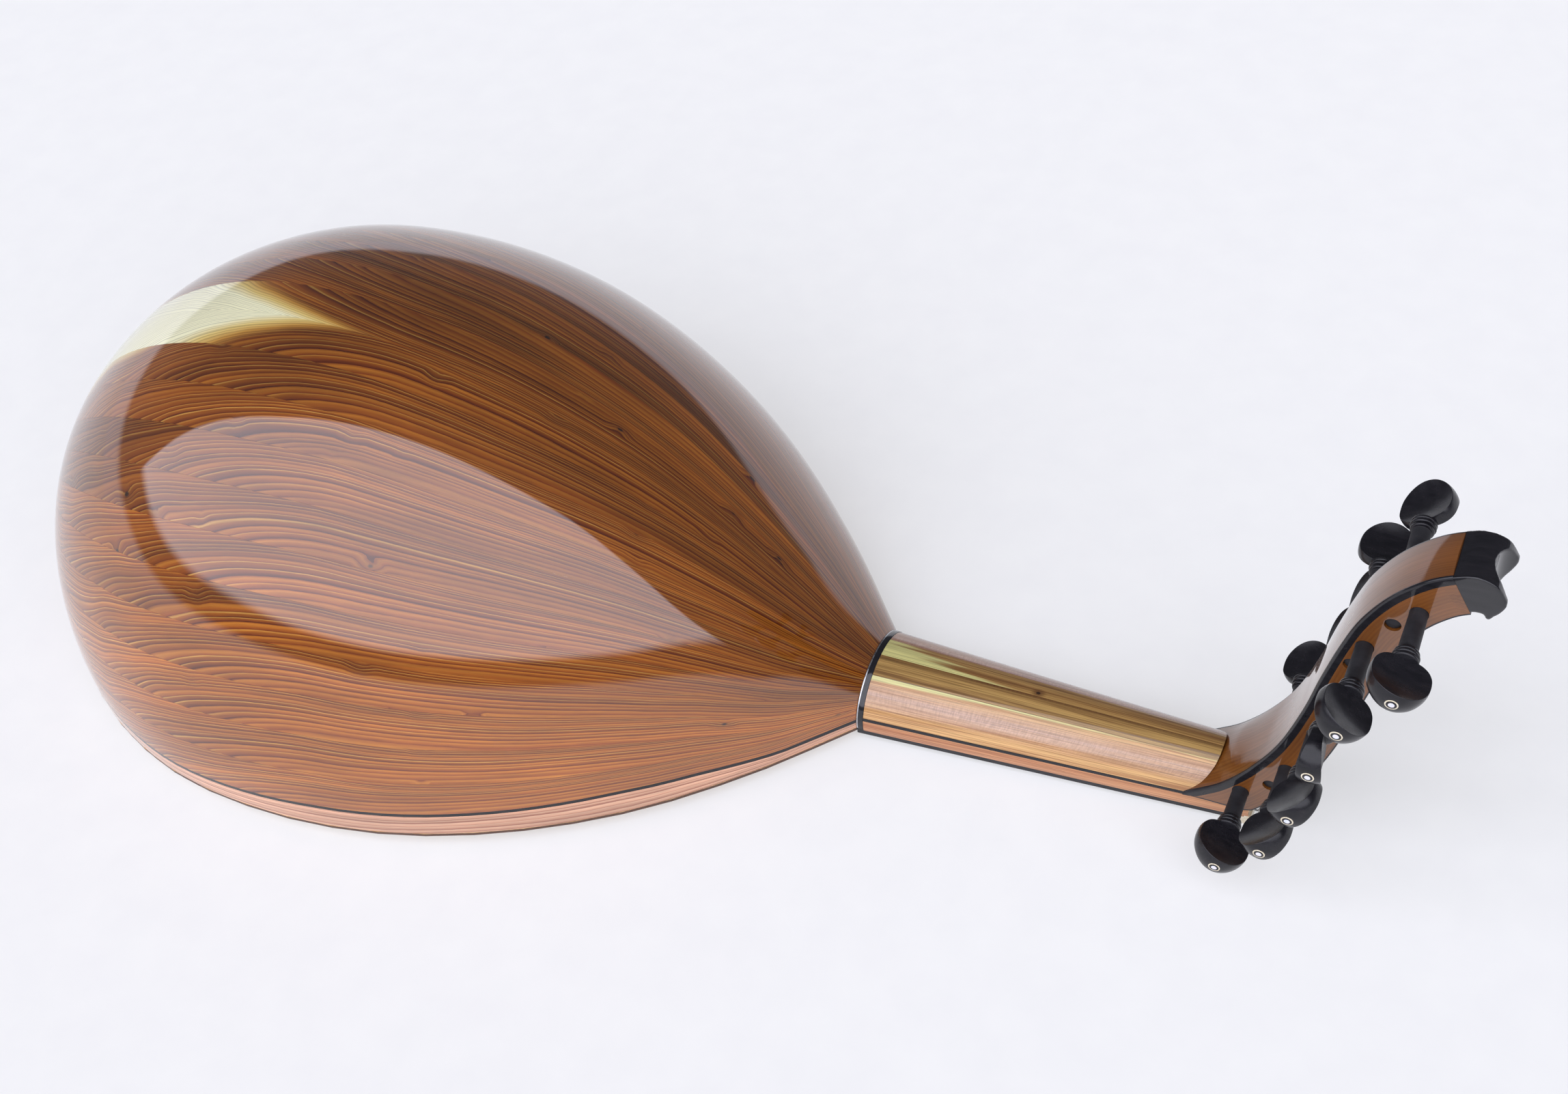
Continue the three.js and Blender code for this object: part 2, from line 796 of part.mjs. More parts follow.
function addStrings() {
  strings.forEach((string, index) => {
    const radius = string.diameter / 2;
    const ring = circlePath(0, 0, radius, stringSides).getPoints();
    const path = new BentLine(stringRoute(string));
    const tube = new THREE.ExtrudeGeometry(new THREE.Shape(ring), {
      steps: path.points.length - 1,
      bevelEnabled: false,
      extrudePath: path,
    });
    const name = "string_" + String(index + 1).padStart(2, "0");
    add(name, tube, string.wound ? woundSilver : nylon);
  });
}

function addNut() {
  const low = [nutStart, -nutHalfWidth, floorLevel(nutStart)];
  const high = [nutEnd, nutHalfWidth, neckFace - clearance];
  const outline = [
    [low[0], floorLevel(low[0])],
    [high[0], floorLevel(high[0])],
    [high[0], high[2]],
    [low[0], high[2]],
  ];
  let nut = solidOf(prism(outline, -nutHalfWidth, nutHalfWidth));
  for (const string of strings) {
    const half = string.diameter / 2 + clearance;
    const floor = nutTop + slotDepthOverString + string.diameter + clearance;
    const slot = block(
      [nutStart - cutOverrun, string.atNut - half, nutTop - cutOverrun],
      [nutEnd + cutOverrun, string.atNut + half, floor],
    );
    nut = nut.subtract(solidOf(slot));
  }
  add("nut", geometryOf(nut), bone);
}

function addBridge() {
  const half = bridgeWidth / 2;
  const topHalf = bridgeTopWidth / 2;
  const shoulder = (bridgeTop - clearance) / 2;
  const place = (offset, level) => [bridgeCentre + offset, level];
  const outline = [
    place(-half, -clearance),
    place(-half, shoulder),
    place(-topHalf, floorLevel(bridgeCentre - topHalf)),
    place(topHalf, floorLevel(bridgeCentre + topHalf)),
    place(half, shoulder),
    place(half, -clearance),
  ];
  let bridge = solidOf(prism(outline, -bridgeHalfLength, bridgeHalfLength));
  for (const string of strings) {
    const [tail, overNut] = stringRoute(string);
    const along = overNut.clone().sub(tail).normalize();
    const from = tail.clone().addScaledVector(along, -cutOverrun);
    const to = tail.clone().addScaledVector(along, bridgeWidth + stringTail + cutOverrun);
    const radius = (string.diameter / 2 + clearance) / Math.cos(Math.PI / pegSides);
    bridge = bridge.subtract(solidOf(rodBetween(from, to, radius)));
  }
  add("bridge", geometryOf(bridge), walnut);
}

// A peg along +y, with y = 0 where it enters the cheek
function pegGeometry(tipLength, stand) {
  const headCentre = stand - pegHeadHalfLength;
  const beadsEnd = headCentre - pegHeadHalfLength + pegBeadPitch / 2;
  const beadsStart = beadsEnd - pegBeadCount * pegBeadPitch;
  const neckRadius = pegRadiusAt(beadsStart);
  const profile = [
    new THREE.Vector2(0, -tipLength),
    new THREE.Vector2(pegRadiusAt(-tipLength), -tipLength),
    new THREE.Vector2(neckRadius, beadsStart),
  ];
  for (let i = 0; i < pegBeadCount; i++) {
    const start = beadsStart + i * pegBeadPitch;
    profile.push(new THREE.Vector2(pegBeadRadius, start + pegBeadPitch / 2));
    profile.push(new THREE.Vector2(neckRadius, start + pegBeadPitch));
  }
  profile.push(new THREE.Vector2(0, headCentre - pegHeadHalfLength / 2));
  const shaft = solidOf(new THREE.LatheGeometry(profile, pegSides));

  const ball = new THREE.SphereGeometry(pegHeadRadius, headSegments, headRings);
  ball.scale(1, pegHeadHalfLength / pegHeadRadius, 1);
  ball.translate(0, headCentre, 0);
  let head = solidOf(ball);
  for (const sign of [-1, 1]) {
    const dish = new THREE.SphereGeometry(pegDishRadius, dishSegments, dishRings);
    dish.translate(
      0,
      headCentre - pegDishShift,
      sign * (pegWebHalfThickness + pegDishRadius),
    );
    head = head.subtract(solidOf(dish));
  }
  return geometryOf(shaft.add(head));
}

function addPegs() {
  for (const peg of pegs) {
    const halfWidth = pegboxHalfWidth(peg.z);
    const geometry = pegGeometry(2 * halfWidth - pegTipRecess, peg.stand);
    geometry.rotateY(THREE.MathUtils.degToRad(peg.turn));
    if (peg.sign < 0) geometry.rotateX(Math.PI);
    const mesh = add(peg.name, geometry, ebony);
    mesh.position.set(peg.x, peg.sign * halfWidth, peg.z);
  }
}

addBowl();
addBlocks();
addSoundboard();
addMainRosette();
addNeck();
addPegbox();
addFinial();
addNut();
addBridge();
addStrings();
addPegs();

oud.rotation.y = tilt;
oud.position
  .set(bridgeCentre, 0, bridgeTop)
  .applyAxisAngle(new THREE.Vector3(0, 1, 0), tilt)
  .negate();

const standing = new THREE.Group();
standing.add(oud);
export default standing;
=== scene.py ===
# An oud lying face down on its bridge and its nut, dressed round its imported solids.
# Pieces are drawn in the instrument's own frame, in millimetres: x from the tail to the pegbox,
# y from the bass side to the treble side, z from the soundboard's face to the back of the bowl.
# standing() then tips them the way the part stands, in metres.
import math

import bmesh
import bpy
import numpy as np
from mathutils import Matrix, Vector


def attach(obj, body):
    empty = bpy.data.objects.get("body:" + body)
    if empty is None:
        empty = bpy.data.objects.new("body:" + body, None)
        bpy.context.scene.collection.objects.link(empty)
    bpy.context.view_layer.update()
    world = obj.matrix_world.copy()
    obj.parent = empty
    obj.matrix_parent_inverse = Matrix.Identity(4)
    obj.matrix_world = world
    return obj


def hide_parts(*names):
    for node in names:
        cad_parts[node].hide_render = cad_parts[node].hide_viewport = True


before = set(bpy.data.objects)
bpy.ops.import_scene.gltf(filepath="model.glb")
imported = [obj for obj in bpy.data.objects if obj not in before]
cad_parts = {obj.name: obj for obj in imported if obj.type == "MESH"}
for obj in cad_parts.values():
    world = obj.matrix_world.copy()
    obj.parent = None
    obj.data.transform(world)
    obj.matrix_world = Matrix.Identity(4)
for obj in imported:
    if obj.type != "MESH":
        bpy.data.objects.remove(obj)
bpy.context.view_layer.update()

BODY = "oud_body"
SIDES = (("bass", -1), ("treble", 1))

# Driving sizes of the instrument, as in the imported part
BODY_LENGTH = 485.0
BODY_HALF_WIDTH = 175.1
BODY_DEPTH = 190.5
RIM = 2.1
RIB_COUNT = 23
RIB_THICKNESS = 2.8
HEEL_HALF_WIDTH = 29.7
HEEL_DEPTH = 27.2
HEEL_BLEND_FROM = 0.75
NECK_LENGTH = 193.0
NUT_HALF_WIDTH = 18.1
NUT_DEPTH = 27.4
NECK_FACE = 2.5
TONGUE_DEPTH = 8.7
BRIDGE_CENTRE = 94.0
BRIDGE_TOP = -9.5
NUT_MIDDLE = 680.25
NUT_TOP = -4.4

# How far the pieces keep inside the solids, and the gap between one piece and the next
INSET = 0.12
PIECE_GAP = 0.15

# Shares of the soundboard's outline: along the body's length, across its half width
OUTLINE_SHARES = [
    (0.008, 0.19), (0.03, 0.354), (0.1, 0.617), (0.2, 0.835), (0.32, 0.968),
    (0.45, 1.0), (0.58, 0.954), (0.7, 0.837), (0.82, 0.645), (0.92, 0.409),
]

# The purfling's height above the soundboard by the place along the body, and its angle round
# the bowl where the bowl is too low for that, at the tail
PURFLING_PLACES = [0, 100, 160, 208, 250, 395, 424, 457, 485]
PURFLING_HEIGHTS = [5.5, 8.5, 10.5, 13, 15.5, 16, 13.4, 7.4, 5.6]
PURFLING_WIDTH = 2.1
PURFLING_LEAST_BOWL = 12
PURFLING_TAIL_ANGLE = 0.28

# The pegbox's back in side view, as shares of its run and rise from the tip of its root
ROOT_TIP = (648.29, 8.7)
PEGBOX_RUN = 125.3
PEGBOX_RISE = 189.5
PEGBOX_DEPTH = 21.0
PEGBOX_ROOT_HALF = 20.3
PEGBOX_NARROWING = 0.0358
CHEEK_THICKNESS = 4.5
PLATE_THICKNESS = 3.0
FINIAL_START = 0.888
BACK_CURVE_SHARES = [
    (0, 0), (0.068, 0.033), (0.152, 0.082), (0.249, 0.168), (0.342, 0.285),
    (0.413, 0.432), (0.459, 0.562), (0.511, 0.69), (0.563, 0.787), (0.643, 0.878),
    (0.74, 0.948), (0.83, 0.987), (0.898, 1), (0.962, 0.985), (1, 0.945),
]

# Pegs: place along the pegbox's run and rise and length outside it, as shares, and the head's
# turn in degrees
PEG_STAND = 48.4
PEG_RADIUS = 3.8
PEG_TAPER = 1 / 60
BASS_PEGS = [
    (0.229, 0.073, 0.91, -25), (0.387, 0.203, 0.98, 38), (0.471, 0.364, 1, 42),
    (0.519, 0.537, 0.99, -88), (0.591, 0.705, 1, -36), (0.743, 0.851, 1, -17),
]
TREBLE_PEGS = [
    (0.333, 0.128, 1, -25), (0.46, 0.299, 1, -55), (0.525, 0.466, 1, -55),
    (0.556, 0.638, 1.02, 5), (0.668, 0.798, 1.08, -35),
]

# The photograph's camera, in the instrument's frame
CAMERA_PLACE = (791.61, -573.45, 828.80)
CAMERA_RIGHT = (0.90843, 0.40134, -0.11698)
CAMERA_UP = (-0.22927, 0.7123, 0.66337)
CAMERA_BACK = (0.34957, -0.5758, 0.73909)
CAMERA_LENS = 47.08

# How the instrument stands: tipped onto its bridge and nut, with the bridge's top at the origin
TILT = math.atan2(NUT_TOP - BRIDGE_TOP, NUT_MIDDLE - BRIDGE_CENTRE)
ORIGIN = (BRIDGE_CENTRE, 0, BRIDGE_TOP)


def stacked(*parts):
    """Coordinates as points, or other values side by side."""
    return np.stack(np.broadcast_arrays(*parts), -1)


def tipped(vectors, angle=TILT):
    """Vectors turned about y: by default, the instrument's directions as they stand."""
    x, y, z = np.moveaxis(np.asarray(vectors, float), -1, 0)
    c, s = math.cos(angle), math.sin(angle)
    return stacked(x * c + z * s, y, -x * s + z * c)


def standing(points):
    """Points of the instrument's frame in millimetres, in the row frame in metres."""
    return tipped(np.asarray(points, float) - ORIGIN) / 1000


def instrument(points):
    """The inverse of standing()."""
    return tipped(np.asarray(points, float) * 1000, -TILT) + ORIGIN


class Value:
    """A socket to reckon with: each operator adds a math node."""

    def __init__(self, tree, socket):
        self.tree, self.socket = tree, socket

    def __add__(self, other):
        return self.tree.math("ADD", self, other)

    def __sub__(self, other):
        return self.tree.math("SUBTRACT", self, other)

    def __rsub__(self, other):
        return self.tree.math("SUBTRACT", other, self)

    def __mul__(self, other):
        return self.tree.math("MULTIPLY", self, other)

    def __truediv__(self, other):
        return self.tree.math("DIVIDE", self, other)


class Tree:
    """The nodes of a material or of the world, built one by one."""

    def __init__(self, owner):
        owner.use_nodes = True
        self.nodes, self.links = owner.node_tree.nodes, owner.node_tree.links

    def feed(self, socket, value):
        if isinstance(value, Value):
            self.links.new(value.socket, socket)
        elif value is not None:
            socket.default_value = value

    def node(self, kind, settings=None, **inputs):
        node = self.nodes.new(kind)
        for key, value in (settings or {}).items():
            setattr(node, key, value)
        for key, value in inputs.items():
            self.feed(node.inputs[key.replace("_", " ")], value)
        return node

    def value(self, node, output=0):
        return Value(self, node.outputs[output])

    def math(self, operation, *values):
        node = self.node("ShaderNodeMath", {"operation": operation})
        for socket, value in zip(node.inputs, values):
            self.feed(socket, value)
        return self.value(node)

    def span(self, value, low, high, to_low=0.0, to_high=1.0, smooth=False):
        """value taken from one range to another, held at its ends."""
        kind = "SMOOTHSTEP" if smooth else "LINEAR"
        node = self.node("ShaderNodeMapRange", {"interpolation_type": kind})
        for socket, part in zip(node.inputs, (value, low, high, to_low, to_high)):
            self.feed(socket, part)
        return self.value(node)

    def vector(self, x, y, z):
        return self.value(self.node("ShaderNodeCombineXYZ", X=x, Y=y, Z=z))

    def parts(self, vector):
        node = self.node("ShaderNodeSeparateXYZ", Vector=vector)
        return [self.value(node, axis) for axis in "XYZ"]

    def attribute(self, name):
        node = self.node("ShaderNodeAttribute", {"attribute_name": name})
        return self.parts(self.value(node, "Vector"))

    def place(self):
        """The object's own coordinates, in metres."""
        return self.value(self.node("ShaderNodeTexCoord"), "Object")

    def stretched(self, scale):
        """The object's own coordinates, scaled along each axis."""
        return self.value(self.node("ShaderNodeMapping", Vector=self.place(), Scale=scale))

    def noise(self, vector, scale, detail=2.0, roughness=0.5):
        kind = {"Vector": vector, "Scale": scale, "Detail": detail, "Roughness": roughness}
        return self.value(self.node("ShaderNodeTexNoise", **kind), "Fac")

    def streaks(self, grain, along_scale, across_scale, detail=2.0, roughness=0.5):
        """Noise with its own scales along and across the grain."""
        along, across, seed = grain
        place = self.vector(along * along_scale, across * across_scale, seed)
        return self.noise(place, 1, detail, roughness)

    def ramp(self, value, stops):
        node = self.node("ShaderNodeValToRGB", Fac=value)
        elements = node.color_ramp.elements
        while len(elements) < len(stops):
            elements.new(0.5)
        for element, (position, colour) in zip(elements, stops):
            element.position = position
            element.color = (*colour, 1)
        return self.value(node, "Color")

    def mix(self, factor, a, b, blend="MIX"):
        kind = {"data_type": "RGBA", "blend_type": blend}
        node = self.node("ShaderNodeMix", kind, Factor=factor)
        for socket, value in ((node.inputs[6], a), (node.inputs[7], b)):
            self.feed(socket, (*value, 1) if isinstance(value, tuple) else value)
        return self.value(node, 2)

    def tinted(self, colour, tint):
        """A colour made darker or lighter by a factor."""
        return self.mix(1.0, colour, self.vector(tint, tint, tint), "MULTIPLY")

    def bump(self, height, strength, distance):
        relief = {"Height": height, "Strength": strength, "Distance": distance}
        return self.value(self.node("ShaderNodeBump", **relief), "Normal")


class Shader(Tree):
    """A material on the principled surface."""

    def __init__(self, name):
        self.material = bpy.data.materials.new(name)
        super().__init__(self.material)
        self.surface = self.nodes["Principled BSDF"]

    def finish(self, colour, roughness, normal=None, coat=0.0, coat_roughness=0.03, **plain):
        looks = {"Base Color": colour, "Roughness": roughness, "Normal": normal}
        looks |= {"Coat Weight": coat, "Coat Roughness": coat_roughness, **plain}
        for key, value in looks.items():
            self.feed(self.surface.inputs[key.replace("_", " ")], value)
        return self.material


# Growth rings in metres: their mean width on the bowl, how ragged they are, how far the arcs
# shift them toward the tail, and from where to where along the rib the arcs fade
RING_WIDTH = 0.0029
EDGE_RING_WIDTH = 0.0024
RAGGEDNESS = 0.0006
ARC_SHIFT = 0.060
ARCS_FROM, ARCS_TO = 0.10, 0.36

# How the rings crowd together across a rib
HALF_RIB = 0.0125
RING_SLOPE, RING_CROWDING, RING_OFFSET = 0.55, 24.0, 0.012

# Knots: cells in a metre, the share of cells without one, and how far they push the rings
KNOT_CELLS = 34
KNOTLESS = 0.70
KNOT_SWERVE = 0.0042
KNOT_HALO, KNOT_CORE = (0.09, 0.028, 0.007), (0.018, 0.008, 0.005)

YEW_RINGS = [
    (0.0, (0.066, 0.0080, 0.0012)), (0.10, (0.108, 0.016, 0.0018)), (0.28, (0.218, 0.046, 0.004)),
    (0.60, (0.312, 0.084, 0.007)), (0.88, (0.43, 0.150, 0.014)), (1.0, (0.25, 0.060, 0.005)),
]
YEW_GLINT = (0.74, 0.40, 0.080)
EDGE_RINGS = [
    (0.0, (0.24, 0.060, 0.030)), (0.12, (0.33, 0.11, 0.055)), (0.35, (0.50, 0.22, 0.12)),
    (0.65, (0.60, 0.31, 0.18)), (0.95, (0.66, 0.37, 0.22)), (1.0, (0.42, 0.17, 0.09)),
]
EDGE_GLINT = (0.66, 0.40, 0.24)
SAPWOOD = [
    (0.0, (0.30, 0.115, 0.022)), (0.3, (0.52, 0.26, 0.045)), (0.6, (0.74, 0.55, 0.18)),
    (1.0, (0.92, 0.89, 0.58)),
]
SAPWOOD_DEPTH = 0.020

# How far the fibres darken and lighten each wood
YEW_DASHES = 0.80, 1.17
VENEER_DASHES = 0.78, 1.18
PEGBOX_DASHES = 0.80, 1.15


def ring_lines(s, grain, spacing, wobble=0.005, uneven=4.2):
    """How far a point is across the growth rings, in rings, and the same in metres."""
    _, across, seed = grain
    sway = (s.streaks(grain, 5, 14) - 0.5) * (wobble * 2)
    ragged = (s.streaks(grain, 80, 620) - 0.5) * RAGGEDNESS
    distance = across + (sway + ragged)
    bunched = s.noise(s.vector(distance * 70, seed, 3.7), 1, 2, 0.6)
    return distance / spacing + bunched * uneven, distance


def fibres(s, grain, reach, fine=900):
    """Short dark and pale dashes along the grain."""
    return s.span(s.streaks(grain, 34, fine, 4, 0.7), 0.3, 0.7, *reach)


def knots(s, grain):
    """Where the rings swerve round a small knot, and the knot's dark core."""
    along, across, seed = grain
    cell = s.vector(along * KNOT_CELLS, across * (KNOT_CELLS * 1.25), seed * 5.3)
    cells = s.node("ShaderNodeTexVoronoi", Vector=cell, Scale=1.0, Randomness=0.9)
    chance = s.node("ShaderNodeSeparateColor", Color=s.value(cells, "Color"))
    rare = s.math("GREATER_THAN", s.value(chance), KNOTLESS)
    reach = s.value(cells, "Distance") + s.noise(cell, 5.0, 2) * 0.10
    swerve = s.span(reach, 0.03, 0.40, 1.0, 0.0, smooth=True) * rare
    core = s.span(reach, 0.08, 0.13, 1.0, 0.0, smooth=True) * rare
    return swerve, core


def yew(name, rings_colours, glint, spacing):
    """Lacquered yew. Its grain attribute holds the place along and across the rib, in metres, and
    a seed, and its tone attribute the sapwood's reach, a lightness, which on the ribs holds painted
    shade and a painted reflection of the floor besides their own tone, and how far the figure
    leans."""
    s = Shader(name)
    along, across, seed = s.attribute("grain")
    sap, light, lean = s.attribute("tone")

    # Arcs toward the tail: the rings cross the rib there and then run along it. The rings lie
    # closer together toward one side of each rib.
    changing = s.noise(s.vector(along * 11, seed * 2.3, 0.5), 1, 2)
    bend = s.span(along, ARCS_FROM, ARCS_TO, ARC_SHIFT, 0.0, smooth=True)
    bend = bend * s.span(changing, 0.3, 0.7, 0.86, 1.14)
    swerve, core = knots(s, (along, across, seed))
    from_side = s.math("MAXIMUM", across + HALF_RIB, 0.0)
    crowded = from_side * RING_SLOPE + (from_side * from_side * RING_CROWDING - RING_OFFSET)
    grain = along, crowded + bend * lean + swerve * KNOT_SWERVE, seed
    rings, distance = ring_lines(s, grain, spacing)

    # Each ring fades from dark to pale in its own way, and some end in a bright line
    ring = s.node("ShaderNodeTexWhiteNoise", {"noise_dimensions": "1D"}, W=s.math("FLOOR", rings))
    own = s.value(ring, "Value")
    phase = s.math("FRACT", rings)
    wood = s.ramp(s.math("POWER", phase, s.span(own, 0.0, 1.0, 0.4, 1.2)), rings_colours)
    wood = s.mix(s.math("FRACT", own * 7.0) * 0.42, wood, rings_colours[3][1])
    line = s.span(phase, 0.76, 0.88) * s.span(phase, 0.90, 1.0, 1.0, 0.0)
    wood = s.mix(line * s.span(own, 0.4, 0.9, 0.0, 0.75), wood, glint)

    # Broad changes of shade, fine fibres, and sapwood that follows the rings
    broad = s.span(s.streaks(grain, 6, 42, 3), 0.3, 0.7, 0.68, 1.26)
    dashes = fibres(s, grain, YEW_DASHES)
    # The tone's lightness brings in the ribs' painted shade and painted reflection of the floor
    shaded = s.tinted(wood, (broad + light) * s.span(own, 0.0, 1.0, 1.12, 0.86) * dashes)
    pale = s.span(distance + sap, 0.0, SAPWOOD_DEPTH)
    lines = s.span(s.math("FRACT", rings * 1.7), 0.0, 0.5, 0.60, 1.0)
    sapwood = s.tinted(s.ramp(pale, SAPWOOD), lines * s.span(dashes, *YEW_DASHES, 0.92, 1.05))
    colour = s.mix(s.span(pale, 0.0, 0.35), shaded, sapwood)
    colour = s.mix(swerve * 0.35, colour, KNOT_HALO)
    colour = s.mix(core * 0.93, colour, KNOT_CORE)

    rough = s.span(dashes, *YEW_DASHES, 0.46, 0.34)
    relief = s.bump(dashes + core, 0.05, 0.0002)
    return s.finish(colour, rough, relief, 1.0, 0.015, Coat_IOR=1.8, Specular_IOR_Level=0.1)


def veneer(name, light, dark, pale=None, blush=None, knot=None):
    """A lacquered strip of veneer with lengthwise streaks. Its tone attribute holds how pale a
    point is, and how much of the blush it has, from 0 to 1."""
    s = Shader(name)
    grain = along, across, _ = s.attribute("grain")
    paleness, blushing, _ = s.attribute("tone")
    wide = s.streaks(grain, 7, 330, 3, 0.6)
    fine = s.streaks(grain, 16, 1900, 3, 0.6)
    wood = s.mix(s.span(wide * 0.6 + fine * 0.4, 0.38, 0.60, smooth=True), dark, light)
    if blush:
        flecks = s.span(s.streaks(grain, 1100, 260), 0.35, 0.65, 0.83, 1.12)
        amount = blushing * s.span(wide, 0.35, 0.62, 0.35, 1.0)
        wood = s.mix(amount, wood, s.tinted(blush, flecks))
    if pale:
        duller = tuple(c * 0.86 for c in pale)
        amount = s.span(paleness + (wide - 0.5) * 1.1, 0.32, 0.62, smooth=True)
        wood = s.mix(amount, wood, s.mix(s.span(fine, 0.35, 0.65), duller, pale))
    dashes = fibres(s, grain, VENEER_DASHES, 2400)
    tint = dashes * s.span(fine, 0.30, 0.55, 0.74, 1.05)
    colour = s.tinted(wood, tint)
    if knot:
        place = s.vector((along - knot[0]) * 0.8, across - knot[1], 0)
        length = s.node("ShaderNodeVectorMath", {"operation": "LENGTH"}, Vector=place)
        away = s.value(length, "Value")
        halo = s.span(away, 0.0007, 0.0040, 0.75, 0.0, smooth=True)
        core = s.span(away, 0.0006, 0.0011, 0.95, 0.0, smooth=True)
        colour = s.mix(halo, colour, (0.10, 0.035, 0.010))
        colour = s.mix(core, colour, (0.020, 0.010, 0.006))
    rough = s.span(dashes, *VENEER_DASHES, 0.42, 0.3)
    relief = s.bump(tint, 0.06, 0.0002)
    return s.finish(colour, rough, relief, 1.0, 0.04, Specular_IOR_Level=0.2)


def pegbox_wood(name):
    """Glossy warm wood with lengthwise streaks."""
    s = Shader(name)
    grain = s.attribute("grain")
    rings, _ = ring_lines(s, grain, 0.0016, 0.0010, 3.6)
    wood = s.ramp(s.math("PINGPONG", rings, 0.5) * 2, [
        (0.0, (0.145, 0.044, 0.0075)), (0.4, (0.180, 0.058, 0.0092)), (1.0, (0.215, 0.075, 0.013)),
    ])
    wide = s.streaks(grain, 7, 60)
    wood = s.mix(s.span(wide, 0.35, 0.6, 0.2, 0.75), wood, (0.195, 0.065, 0.0105))
    dashes = fibres(s, grain, PEGBOX_DASHES, 1000)
    colour = s.tinted(wood, dashes * s.span(wide, 0.3, 0.7, 0.78, 1.15))
    rough = s.span(dashes, *PEGBOX_DASHES, 0.44, 0.34)
    relief = s.bump(dashes, 0.05, 0.0002)
    return s.finish(colour, rough, relief, 1.0, 0.02, Coat_IOR=1.62, Specular_IOR_Level=0.2)


EBONY = [
    (0.3, (0.006, 0.006, 0.008)), (0.62, (0.013, 0.012, 0.015)), (0.9, (0.030, 0.022, 0.018)),
]
WORN_EBONY = (0.060, 0.058, 0.064)


def ebony(name, roughness, coat, worn=0.0, shine=0.5):
    """Black wood with faint brown streaks and fine pores, duller where it is worn."""
    s = Shader(name)
    colour = s.ramp(s.noise(s.stretched((60, 420, 420)), 1, 4, 0.6), EBONY)
    rubbed = s.noise(s.place(), 130, 3, 0.6)
    rough = s.span(rubbed, 0.35, 0.7, roughness, roughness + 0.09 + worn)
    if worn:
        colour = s.mix(s.span(rubbed, 0.45, 0.75, 0.0, worn), colour, WORN_EBONY)
    relief = s.bump(s.noise(s.place(), 1500, 2), 0.12, 0.0001)
    return s.finish(colour, rough, relief, coat, 0.06, Specular_IOR_Level=shine)


def plain_wood(name, light, dark, roughness, scale=(6, 900, 900), coat=0.0, side=None):
    """Straight-grained bare or satin wood with its grain along the instrument. A side colour
    stands for a binding on the upright faces."""
    s = Shader(name)
    grain = s.noise(s.stretched(scale), 1, 3, 0.55)
    colour = s.mix(s.span(grain, 0.35, 0.65, smooth=True), dark, light)
    if side:
        facing = s.value(s.node("ShaderNodeNewGeometry"), "True Normal")
        upright = s.math("LESS_THAN", s.math("ABSOLUTE", s.parts(facing)[2]), 0.5)
        colour = s.mix(upright, colour, s.mix(grain, side, tuple(c * 1.6 for c in side)))
    rough = s.span(grain, 0.3, 0.7, roughness + 0.08, roughness - 0.05)
    return s.finish(colour, rough, s.bump(grain, 0.15, 0.0003), coat, 0.2)


def bone(name):
    s = Shader(name)
    grain = s.noise(s.stretched((900, 90, 900)), 1, 3)
    colour = s.ramp(grain, [(0.3, (0.62, 0.53, 0.36)), (0.7, (0.80, 0.73, 0.57))])
    return s.finish(colour, s.span(grain, 0.3, 0.7, 0.42, 0.3), s.bump(grain, 0.1, 0.0001))


def pearl(name):
    """Mother-of-pearl: pale, with a faint shift of colour."""
    s = Shader(name)
    shimmer = s.noise(s.place(), 900, 2)
    colour = s.ramp(shimmer, [
        (0.3, (0.62, 0.68, 0.80)), (0.5, (0.78, 0.78, 0.80)), (0.7, (0.80, 0.72, 0.74)),
    ])
    rough = s.span(shimmer, 0.3, 0.7, 0.3, 0.16)
    return s.finish(colour, rough, s.bump(shimmer, 0.1, 0.0001), coat=0.6)


def silver(name):
    s = Shader(name)
    marks = s.noise(s.place(), 700, 3)
    colour = s.ramp(marks, [(0.3, (0.50, 0.50, 0.52)), (0.7, (0.80, 0.80, 0.82))])
    rough = s.span(marks, 0.3, 0.7, 0.22, 0.4)
    return s.finish(colour, rough, s.bump(marks, 0.08, 0.0001), Metallic=1.0)


def string_stuff(name, low, high, wound):
    """A string: fine turns of winding wire, with painted shade in the grooves between the turns, or
    smooth nylon.
    """
    s = Shader(name)
    bands = {"Vector": s.place(), "Scale": 1400.0 if wound else 60.0}
    turns = s.value(s.node("ShaderNodeTexWave", {"bands_direction": "X"}, **bands), "Fac")
    relief = s.bump(turns, 0.5 if wound else 0.05, 0.0001)
    rough = s.span(s.noise(s.place(), 500, 2), 0.3, 0.7, 0.24, 0.38)
    # On wound strings the low colour in the grooves between turns is painted shade
    return s.finish(s.mix(turns, low, high), rough, relief, Metallic=1.0 if wound else 0.0)


SEEN_WHITE = 0.45


def floor_paint(name):
    """A pale floor which the camera sees nearly white, with the object's shadow left on it."""
    s = Shader(name)
    grain = s.noise(s.place(), 40, 3)
    s.finish(s.ramp(grain, [(0.3, (0.86, 0.86, 0.87)), (0.7, (0.90, 0.90, 0.90))]), 0.85)
    seen = s.node("ShaderNodeLightPath")
    direct = s.math("MAXIMUM", s.value(seen, "Is Camera Ray"), s.value(seen, "Is Glossy Ray"))
    direct = s.math("MAXIMUM", direct, s.value(seen, "Is Transmission Ray"))
    white = s.node("ShaderNodeEmission", Color=(1, 1, 1, 1), Strength=1.0)
    mixed = s.node("ShaderNodeMixShader", Fac=direct * SEEN_WHITE)
    s.feed(mixed.inputs[1], s.value(s.surface))
    s.feed(mixed.inputs[2], s.value(white))
    s.feed(s.nodes["Material Output"].inputs["Surface"], s.value(mixed))
    return s.material


